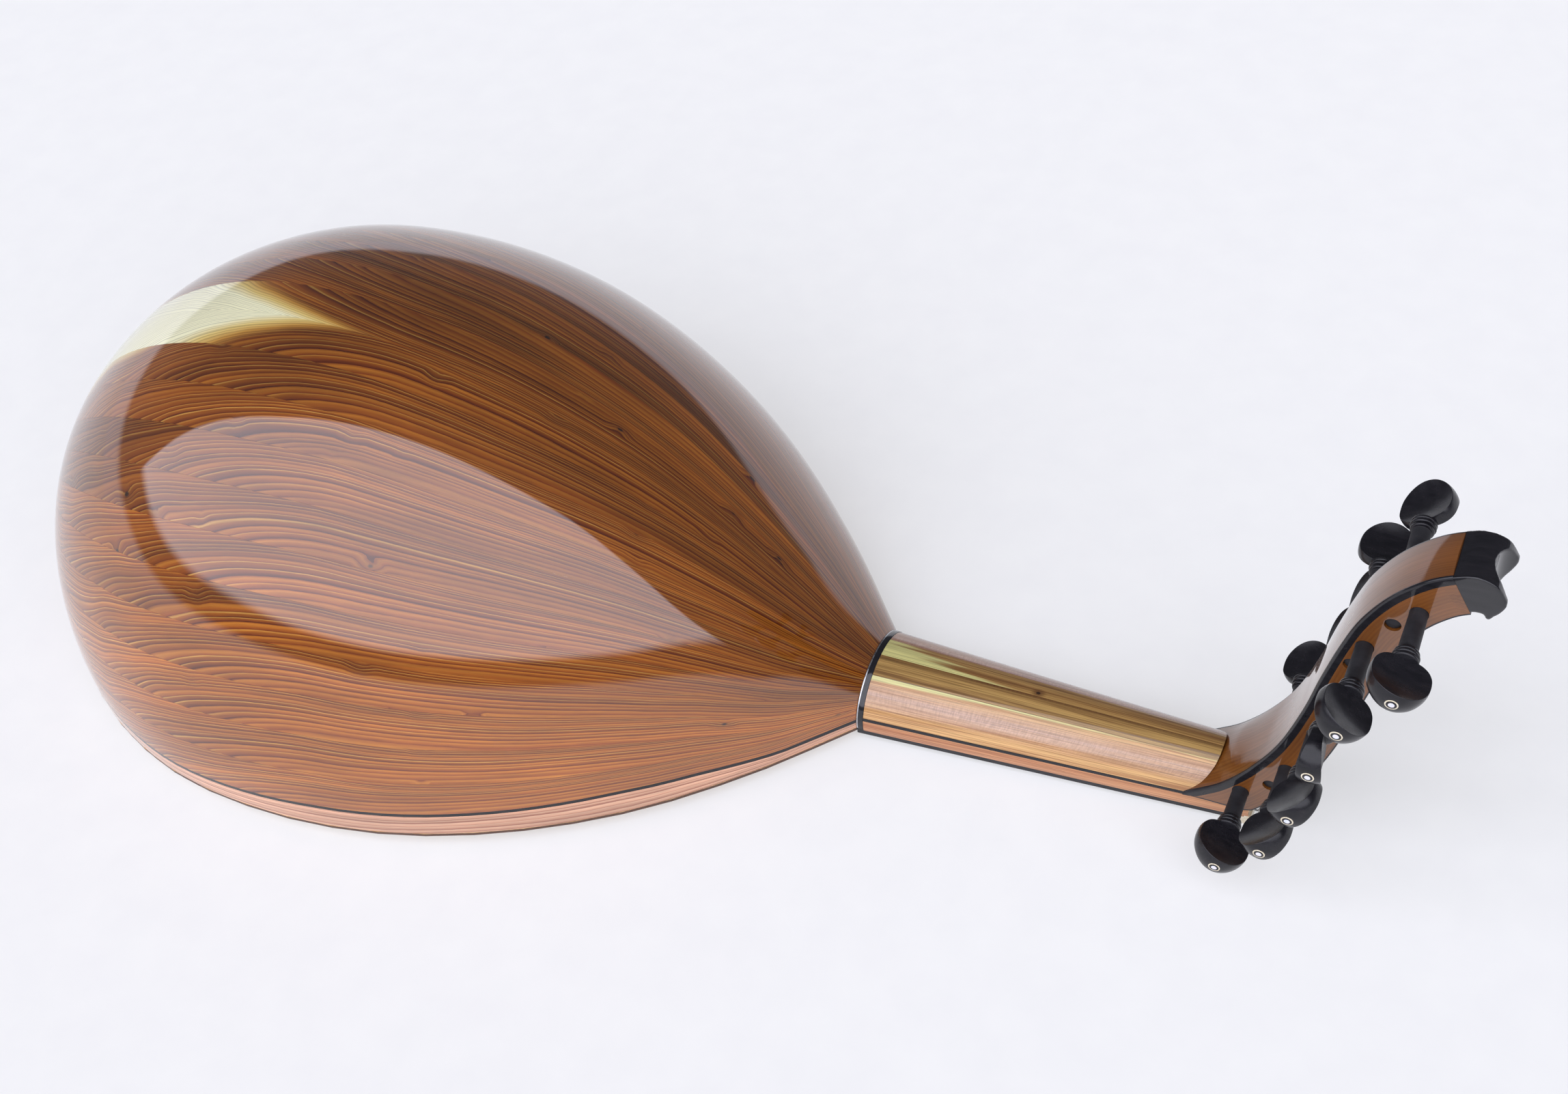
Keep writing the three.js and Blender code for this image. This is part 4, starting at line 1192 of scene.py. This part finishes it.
def along_back(points):
    """For points of the pegbox: how far along its back, and how deep below it, in metres."""
    start, way = BACK[:-1], np.diff(BACK, axis=0)
    away = points[:, None, [0, 2]] - start[None]
    part = np.clip((away * way[None]).sum(2) / (way**2).sum(1), 0, 1)
    gaps = np.linalg.norm(away - part[..., None] * way[None], axis=2)
    nearest = gaps.argmin(1)
    rows = np.arange(len(points))
    run = BACK_RUN[nearest] + part[rows, nearest] * np.diff(BACK_RUN)[nearest]
    return run / 1000, gaps[rows, nearest] / 1000


CHEEK_ROOT_SHARE = 0.012
CHEEK_INSET = 0.14
CHEEK_FRONT_GAP = 0.1
CHEEK_FOOT_GAP = 0.05
LEAST_CHEEK = 0.02
LEAST_SLOPE = 0.05
NO_LIMIT = 99.0

# How much wider than the peg a hole is, and how far out it is cut on each side of a cheek
HOLE_PLAY = 0.25
HOLE_SPAN = (6, 40)


def cheek_lines(depth, foot):
    """A cheek's two edges, from its root to the finial: the upper one under the edge band, and
    the lower one at a depth below the back, but no lower than a height."""
    shares = np.linspace(CHEEK_ROOT_SHARE, FINIAL_START, 70)
    x, z, nx, nz = back_frame(shares)
    lowest = np.where(nz < -LEAST_SLOPE, (foot - z) / np.minimum(nz, -LEAST_SLOPE), NO_LIMIT)
    upper = band_depth(shares) - BAND_OVERLAP
    lower = np.maximum(np.minimum(depth, lowest), upper + LEAST_CHEEK)
    return [stacked(x + nx * d, z + nz * d) for d in (upper, lower)]


def slab(upper, lower, sign, outer, inner):
    """A side wall of the pegbox between two lines, as quads over its thickness."""
    sections = []
    for u, l in zip(upper, lower):
        corners = (u, outer), (l, outer), (l, inner), (u, inner)
        sections.append(np.array([
            [x, sign * (pegbox_half(z) - inset), z] for (x, z), inset in corners
        ]))
    return closed_loft(sections)


def peg_hole(peg, sign):
    """A cutter for a peg's hole in one cheek."""
    outward = 0 if peg["sign"] == sign else -2 * pegbox_half(peg["z"])
    ends = [(peg["x"], sign * y, peg["z"]) for y in HOLE_SPAN]
    return rod(*ends, peg_radius(outward) + HOLE_PLAY)


def add_cheeks():
    """The pegbox's side walls and the black borders along their front edges."""
    foot = TONGUE_DEPTH + CHEEK_FOOT_GAP
    wall = cheek_lines(PEGBOX_DEPTH - FRONT_BORDER, foot + FRONT_BORDER)
    whole = cheek_lines(PEGBOX_DEPTH - CHEEK_FRONT_GAP, foot)
    for side, sign in SIDES:
        holes = [peg_hole(peg, sign) for peg in PEGS]
        for name, lines, material, replaced in (
            ("cheek_wall", wall, "pegbox", ["pegbox_cheek_" + side]),
            ("cheek_border", (wall[1], whole[1]), "lacquer_black", []),
        ):
            mesh = carved(*slab(*lines, sign, CHEEK_INSET, CHEEK_THICKNESS), holes)
            places = np.zeros(len(mesh.vertices) * 3)
            mesh.vertices.foreach_get("co", places)
            along, deep = along_back(instrument(places.reshape(-1, 3)))
            write_vectors(mesh, "grain", stacked(along, deep, 7 + sign))
            smooth_but_edges(mesh, 30)
            adopt(mesh, f"pegbox_{name}_{side}", material, replaced=replaced)
        for hole in holes:
            bpy.data.objects.remove(hole)


# The finial: its hook as shares of the pegbox's depth, the scoop across it, how far it keeps
# inside its solid, how far it runs back before it is cut flat, and its rounding
HOOK_SHARES = [
    (0, -0.13), (-0.075, -0.31), (-0.19, -0.47), (-0.25, -0.565), (-0.32, -0.55),
    (-0.385, -0.452), (-0.585, -0.457),
]
SCOOP_PLACE, SCOOP_RADIUS, SCOOP_SPAN = 3.6, 11.6, (150, 215)
FINIAL_INSET, FINIAL_BACK_INSET = 0.15, 0.35
FINIAL_LEAD, FINIAL_JOINT = 0.008, 0.0004
FINIAL_ROUNDING = [
    ("REMESH", {"mode": "VOXEL", "voxel_size": 0.00045}),
    ("SMOOTH", {"factor": 0.5, "iterations": 9}),
]


def square_off(mesh):
    """Cuts the finial flat where it meets the pegbox, so that the joint is clean."""
    x, z, nx, nz = back_frame(np.array(FINIAL_START + FINIAL_JOINT))
    plane = {"plane_co": Vector(standing((x, 0, z))), "plane_no": Vector(tipped((-nz, 0, nx)))}
    work = bmesh.new()
    work.from_mesh(mesh)
    everything = [*work.verts, *work.edges, *work.faces]
    cut = bmesh.ops.bisect_plane(work, geom=everything, clear_inner=True, **plane)
    border = [e for e in cut["geom_cut"] if isinstance(e, bmesh.types.BMEdge)]
    bmesh.ops.holes_fill(work, edges=border)
    work.to_mesh(mesh)
    work.free()


def add_finial():
    """The ebony end: a thick scroll with a scoop across its end, all edges rounded."""
    start = FINIAL_START - FINIAL_LEAD
    edge = lambda share, depth: pegbox_point(np.array(share), depth, 0.0, 1)[[0, 2]]
    back = [edge(share, FINIAL_BACK_INSET) for share in np.linspace(start, 1, 22)]
    hook = [back[-1] + np.array(share) * PEGBOX_DEPTH for share in HOOK_SHARES]
    hook = catmull_rom([back[-1], back[-1], *hook, hook[-1]], 5, power=0)
    rim = [*back, *hook[1:], edge(start, PEGBOX_DEPTH - CHEEK_FRONT_GAP)]
    sections = [
        np.array([[x, sign * (pegbox_half(z) - FINIAL_INSET), z] for x, z in rim])
        for _, sign in SIDES
    ]
    reach = max(p[0] for p in rim) + SCOOP_PLACE
    scoop = rod(*[(reach, 0, z) for z in SCOOP_SPAN], SCOOP_RADIUS, 64)
    sharp = carved(*closed_loft(sections), [scoop])
    bpy.data.objects.remove(scoop)
    mesh = modified(placed("finial", sharp), FINIAL_ROUNDING)
    square_off(mesh)
    smooth_but_edges(mesh, 60)
    adopt(mesh, "finial_scroll", "ebony", replaced=["finial"])


# The pegs' shafts stop short of the far cheek's outside. A turned piece closes on a small radius.
SHAFT_SHORT = 1.1
SHAFT_BEVEL = 0.4
CLOSED = 0.01
BEADS = 3
BEAD_RADIUS = 5.7
BEAD_ROUNDING = 0.95
BEAD_PITCH = 1.9
FIRST_BEAD_LESS = 0.5
BEAD_TURN = 1.25
BEAD_SHARE = 0.47
COLLAR_END = [(4.4, 0.1), (3.0, 0.7), (CLOSED, 0.8)]

# The pegs' heads: a round one, with a dish on both sides that leaves a web
HEAD_RADIUS = 12.6
HEAD_HALF = 11.6
WEB_HALF = 1.5
DISH_SPREAD = 53.0
DISH_PLACE = -4.0
DISH_SIDE_SHARE = 0.42
RIDGE_ROUNDING = 0.35

# The loops of a head's mesh: how many cross a dish, how they crowd toward its rim, and where
# those outside the rim lie
DISH_LOOPS, DISH_CROWDING = 19, 1.7
BALL_LOOPS = (0.94, 0.86, 0.72, 0.54, 0.36, 0.18, 0.06)

# The head's outline, from the collar to the tip: along it, and half its width
HEAD_OUTLINE = [
    (-11.6, 0), (-11.35, 4.2), (-10.6, 7.4), (-9.0, 10.1), (-6.2, 12.0), (-2.0, 12.6), (2.2, 12.1),
    (5.6, 10.5), (8.4, 8.1), (10.4, 5.1), (11.35, 2.4), (11.6, 0),
]


def softer(a, b, width):
    """The smaller of two values, with the crease between them rounded."""
    blend = np.clip(0.5 + 0.5 * (b - a) / width, 0, 1)
    return b + (a - b) * blend - width * blend * (1 - blend)


def head_outline(turns):
    """Points evenly spaced round the head's outline, as across and along."""
    half = [np.array([w, s]) for s, w in HEAD_OUTLINE]
    curve = catmull_rom(run_out([half[1] * (-1, 1), *half]), 20)
    whole = np.concatenate([curve, curve[-2:0:-1] * (-1, 1), curve[:1]])
    run = run_along(whole)
    at = np.linspace(0, run[-1], turns, endpoint=False)
    return stacked(np.interp(at, run, whole[:, 0]), np.interp(at, run, whole[:, 1]))


def ball_half(reach):
    return HEAD_RADIUS * np.sqrt(np.maximum(1 - reach**2, 0))


def dish_half(reach, rim):
    x, y = reach * rim[:, 0], reach * rim[:, 1]
    return WEB_HALF + ((y - DISH_PLACE) ** 2 + DISH_SIDE_SHARE * x**2) / DISH_SPREAD


def head_mesh_parts(turns=96):
    """A ball with a wide dish on both faces. A loop of the mesh runs along each dish's rim."""
    rim = head_outline(turns)
    low, high = np.zeros(turns), np.ones(turns)
    for _ in range(40):
        middle = (low + high) / 2
        outside = ball_half(middle) < dish_half(middle, rim)
        high = np.where(outside, middle, high)
        low = np.where(outside, low, middle)
    ridge = (low + high) / 2
    steps = np.linspace(1, 0, DISH_LOOPS + 1)[1:]
    loops = [ridge * part for part in 1 - steps**DISH_CROWDING]
    start = np.sqrt(1 - ridge**2)
    loops += [np.sqrt(1 - (start * part) ** 2) for part in BALL_LOOPS]
    top = []
    for reach in loops:
        z = softer(ball_half(reach), dish_half(reach, rim), RIDGE_ROUNDING)
        top.append(stacked(reach * rim[:, 0], reach * rim[:, 1], np.maximum(z, 0.02)))
    edge = [stacked(rim[:, 0], rim[:, 1], 0)]
    under = [loop * (1, 1, -1) for loop in top[::-1]]
    return closed_loft([*top, *edge, *under])


def turned(profile, sides=32):
    """Points and faces of a turned piece along y from [radius, y] points."""
    first, second = np.array((1, 0, 0)), np.array((0, 0, 1))
    return closed_loft([circle((0, y, 0), r, first, second, sides) for r, y in profile])


def peg_mesh(peg, points, faces, angle=50):
    """Puts points drawn along a peg's own axis where the peg is."""
    p = tipped(points, peg["turn"])
    if peg["sign"] < 0:
        p = p * (1, -1, -1)
    p = p + (peg["x"], peg["sign"] * pegbox_half(peg["z"]), peg["z"])
    return plain_mesh(p, faces, angle)


def add_peg(peg):
    """A peg's tapered shaft, its ring beads with the head, and the inlay in its end."""
    centre = peg["stand"] - HEAD_HALF
    beads_end = centre - HEAD_HALF + BEAD_PITCH / 2
    beads_start = beads_end - BEADS * BEAD_PITCH
    tip = -2 * pegbox_half(peg["z"]) + SHAFT_SHORT

    shaft = [(CLOSED, tip), (peg_radius(tip) - SHAFT_BEVEL, tip)]
    shaft += [(peg_radius(tip), tip + SHAFT_BEVEL)]
    shaft += [(peg_radius(y), y) for y in np.linspace(tip + 2, beads_start - 1.2, 8)]
    shaft += [(peg_radius(beads_start) + 0.3, beads_start - 0.4), (CLOSED, beads_start)]
    mesh = peg_mesh(peg, *turned(shaft))
    adopt(mesh, peg["name"] + "_shaft", "shaft", body=peg["name"])

    collar = [(CLOSED, beads_start - 0.6)]
    for bead in range(BEADS):
        middle = beads_start + (bead + 0.5) * BEAD_PITCH
        base = BEAD_RADIUS - (FIRST_BEAD_LESS if bead == 0 else 0) - BEAD_ROUNDING
        for a in np.linspace(-BEAD_TURN, BEAD_TURN, 9):
            y = middle + BEAD_PITCH * BEAD_SHARE * math.sin(a) / BEAD_ROUNDING
            collar.append((base + BEAD_ROUNDING * math.cos(a), y))
    collar += [(radius, beads_end + y) for radius, y in COLLAR_END]
    points, faces = turned(collar, 40)
    head, head_faces = head_mesh_parts()
    faces += [[i + len(points) for i in face] for face in head_faces]
    mesh = peg_mesh(peg, np.concatenate([points, head + (0, centre, 0)]), faces, 48)
    adopt(mesh, peg["name"] + "_head", "peg_ebony", [peg["name"]], peg["name"])
    add_dot(peg)


# Inlay at a peg's end: how deep it goes, and its rings from the outside in, with their radius,
# how proud they stand, and their material and slot
DOT_DEPTH = 1.0
DOT_RINGS = [
    ("ring", 2.75, 0.05, "bone", "bone"), ("inlay", 2.2, 0.07, "peg_ebony", "peg_ebony"),
    ("dot", 1.3, 0.09, "pearl", "bone"),
]


def add_dot(peg):
    """A pearl dot in a pale ring, following the round end of the head."""
    for name, radius, proud, material, slot in DOT_RINGS:
        profile = [(r, peg["stand"] - DOT_DEPTH) for r in (CLOSED, radius)]
        for r in np.linspace(radius, CLOSED, 7):
            profile.append((r, peg["stand"] - r**2 * HEAD_HALF / (2 * HEAD_RADIUS**2) + proud))
        mesh = peg_mesh(peg, *turned(profile, 40))
        adopt(mesh, f"{peg['name']}_{name}", material, body=peg["name"])


COURSE_DIAMETERS = [1.1, 1.0, 0.9, 0.8, 0.7, 0.65]
COURSE_STRINGS = [1, 2, 2, 2, 2, 2]
WOUND_COURSES = 3
WOUND_STRINGS = sum(COURSE_STRINGS[:WOUND_COURSES])
NUT_COURSE_SPREAD = 13.6
NUT_PAIR_SPACING = 2.4


def string_list():
    """The strings' diameters and places across the nut, and the pegs that hold them."""
    strings = []
    for course, (diameter, count) in enumerate(zip(COURSE_DIAMETERS, COURSE_STRINGS)):
        middle = (course / 5 * 2 - 1) * NUT_COURSE_SPREAD
        for i in range(count):
            offset = 0 if count == 1 else (i - 0.5) * NUT_PAIR_SPACING
            wound = course < WOUND_COURSES
            strings.append({"diameter": diameter, "nut": middle + offset, "wound": wound})
    order = sorted(strings, key=lambda s: -abs(s["nut"]))
    for string, peg in zip(order, sorted(PEGS, key=lambda p: p["z"])):
        string["peg"] = peg
    return strings


STRINGS = string_list()

# Windings: their most turns, the gap between turns, how far from the cheek they end, and how
# far from the string's own place they start, in diameters
MOST_TURNS = 4.5
TURN_GAP = 0.15
WINDING_MARGIN = 1.0
WINDING_START = 1.1
TURN_POINTS = 24


def tube(path, radius, sides=10):
    """Points and faces of a tube along a path."""
    tangent = np.gradient(path, axis=0)
    tangent /= np.linalg.norm(tangent, axis=1, keepdims=True)
    normal = np.cross(tangent, (0.0, 1.0, 0.0))
    normal /= np.maximum(np.linalg.norm(normal, axis=1, keepdims=True), 1e-9)
    other = np.cross(tangent, normal)
    return closed_loft([circle(p, radius, n, o, sides) for p, n, o in zip(path, normal, other)])


def clear_run(string, half, start, heading):
    """How far a string can be wound along its peg before it comes under a string that passes."""
    scale = half / pegbox_half(NUT_TOP)
    run = NO_LIMIT
    for other in STRINGS:
        ahead = (other["nut"] * scale - start) * heading
        if other["peg"]["z"] > string["peg"]["z"] and ahead > 0:
            run = min(run, ahead - (other["diameter"] + string["diameter"]) / 2 - TURN_GAP)
    return run


def winding_place(string):
    """Where along its peg a string's winding starts, its heading, and its turns."""
    diameter = string["diameter"]
    half = pegbox_half(string["peg"]["z"])
    across = string["nut"] * half / pegbox_half(NUT_TOP)
    room = half - CHEEK_THICKNESS - WINDING_MARGIN
    heading = -1 if across > 0 else 1
    turns = min(MOST_TURNS, (room + abs(across) * 0.5) / (2 * diameter + 0.4))
    start = across + heading * diameter * WINDING_START
    if string["wound"]:
        run = clear_run(string, half, start, heading)
        outer_start = across - heading * diameter * WINDING_START
        outer_run = room - abs(outer_start)
        if outer_run > run:
            heading, start, run = -heading, outer_start, outer_run
        turns = min(turns, run / (diameter + TURN_GAP))
    return start, heading, turns


def add_string_windings():
    """Turns of each string round its peg, which turn with the peg."""
    for number, string in enumerate(STRINGS, 1):
        peg, radius = string["peg"], string["diameter"] / 2
        start, heading, turns = winding_place(string)
        angle = np.linspace(0, turns * 2 * math.pi, int(turns * TURN_POINTS))
        y = start + heading * angle / (2 * math.pi) * (string["diameter"] + TURN_GAP)
        reach = peg_radius(peg["sign"] * y - pegbox_half(peg["z"])) + radius + 0.05
        path = stacked(peg["x"] + reach * np.cos(angle), y, peg["z"] + reach * np.sin(angle))
        mesh = plain_mesh(*tube(path, radius), 80)
        material, slot = "nylon", "plain_string"
        if string["wound"]:
            material, slot = "wound", "wound_string"
        adopt(mesh, f"winding_{number:02d}", material, body=peg["name"])


# The braces' places along the body, and their sections: the foot, the shoulders and the top
BRACE_SHARES = (0.335, 0.425, 0.53, 0.725)
BRACE_END, BRACE_SLOPE = 8, 26
BRACE_END_HEIGHT, BRACE_HEIGHT = 5, 13
BRACE_HALF, BRACE_TOP_HALF, BRACE_SHOULDER = 3, 1.2, 2


def add_braces():
    """Four spruce bars under the soundboard, seen only through the rosettes."""
    for number, share in enumerate(BRACE_SHARES, 1):
        x = share * BODY_LENGTH
        half = np.interp(x, OUTLINE[:, 0], OUTLINE[:, 1]) - BRACE_END
        sections = []
        for y in (-half, -half + BRACE_SLOPE, half - BRACE_SLOPE, half):
            high = RIM + (BRACE_END_HEIGHT if abs(y) == half else BRACE_HEIGHT)
            low, shoulder = RIM + 0.1, high - BRACE_SHOULDER
            sections.append(np.array([
                [x - BRACE_HALF, y, low], [x + BRACE_HALF, y, low], [x + BRACE_HALF, y, shoulder],
                [x + BRACE_TOP_HALF, y, high], [x - BRACE_TOP_HALF, y, high],
                [x - BRACE_HALF, y, shoulder],
            ]))
        adopt(plain_mesh(*closed_loft(sections)), f"brace_{number}", "spruce")


def finish_cad_nodes():
    """Materials for the CAD nodes that stay in view."""
    finishes = {
        "soundboard": "soundboard", "rosette_main": "walnut", "bridge": "walnut",
        "fingerboard": "board_ebony", "nut": "bone", "neck_block": "block", "tail_block": "block",
    }
    for number in range(1, len(STRINGS) + 1):
        finishes[f"string_{number:02d}"] = "wound" if number <= WOUND_STRINGS else "nylon"
    for node, material in finishes.items():
        paint(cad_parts[node].data, material)


FLOOR_HALF = 6.0
FLOOR_HEIGHT = -0.0004


def add_floor():
    mesh = bpy.data.meshes.new("floor")
    corners = [(x * FLOOR_HALF, y * FLOOR_HALF, FLOOR_HEIGHT)
               for x, y in ((-1, -1), (1, -1), (1, 1), (-1, 1))]
    mesh.from_pydata(corners, [], [(0, 1, 2, 3)])
    paint(mesh, "floor")
    floor = placed("floor", mesh)


# The studio's light: its strengths, the tint, how the large source's edge runs on the sky, and
# the heights over which that source begins and the horizon ends
WORLD_GREY = 0.12
SKY_STRENGTH = 2.25
HORIZON_STRENGTH = 0.95
SKY_TINT = (0.97, 0.98, 1.10, 1)
SKY_EDGE_CURVE, SKY_EDGE_PLACE, SKY_EDGE_WIDTH = 0.14, 0.075, 0.02
SKY_BEGINS, HORIZON_ENDS = (0.24, 0.30), (0.07, 0.13)


def add_world():
    """A plain grey studio with one large soft source, overhead and to the bass side, and a pale
    horizon."""
    world = bpy.data.worlds.new("studio")
    bpy.context.scene.world = world
    tree = Tree(world)
    x, y, z = tree.parts(tree.value(tree.node("ShaderNodeTexCoord"), "Generated"))
    side = x * x * SKY_EDGE_CURVE + (y + SKY_EDGE_PLACE)
    near_side = tree.span(side * -1, 0.0, SKY_EDGE_WIDTH, smooth=True)
    lit = near_side * tree.span(z, *SKY_BEGINS, smooth=True)
    strength = tree.math("MULTIPLY_ADD", lit, SKY_STRENGTH - WORLD_GREY, WORLD_GREY)
    low_down = 1.0 - tree.span(z, *HORIZON_ENDS, smooth=True)
    strength = tree.math("MULTIPLY_ADD", low_down, HORIZON_STRENGTH - WORLD_GREY, strength)
    background = tree.nodes["Background"].inputs
    tree.feed(background["Color"], SKY_TINT)
    tree.feed(background["Strength"], strength)


def add_camera():
    camera = bpy.data.cameras.new("photo_camera")
    camera.lens = CAMERA_LENS
    camera.sensor_width = 36
    camera.clip_start, camera.clip_end = 0.05, 50
    piece = placed("photo_camera", camera)
    axes = [tipped(axis) for axis in (CAMERA_RIGHT, CAMERA_UP, CAMERA_BACK)]
    columns = stacked(*axes, standing(CAMERA_PLACE))
    piece.matrix_world = Matrix([*columns.tolist(), [0, 0, 0, 1]])
    bpy.context.scene.camera = piece


add_ribs()
add_edge_ribs()
add_board_edge()
add_heel_ring()
for strip in STRIPS:
    add_strip(*strip)
add_neck_sides()
add_neck_core()
add_pegbox_back()
add_cheeks()
add_finial()
for peg in PEGS:
    add_peg(peg)
add_string_windings()
add_braces()
finish_cad_nodes()
add_floor()
add_camera()
add_world()
bpy.context.scene.view_settings.view_transform = "Standard"
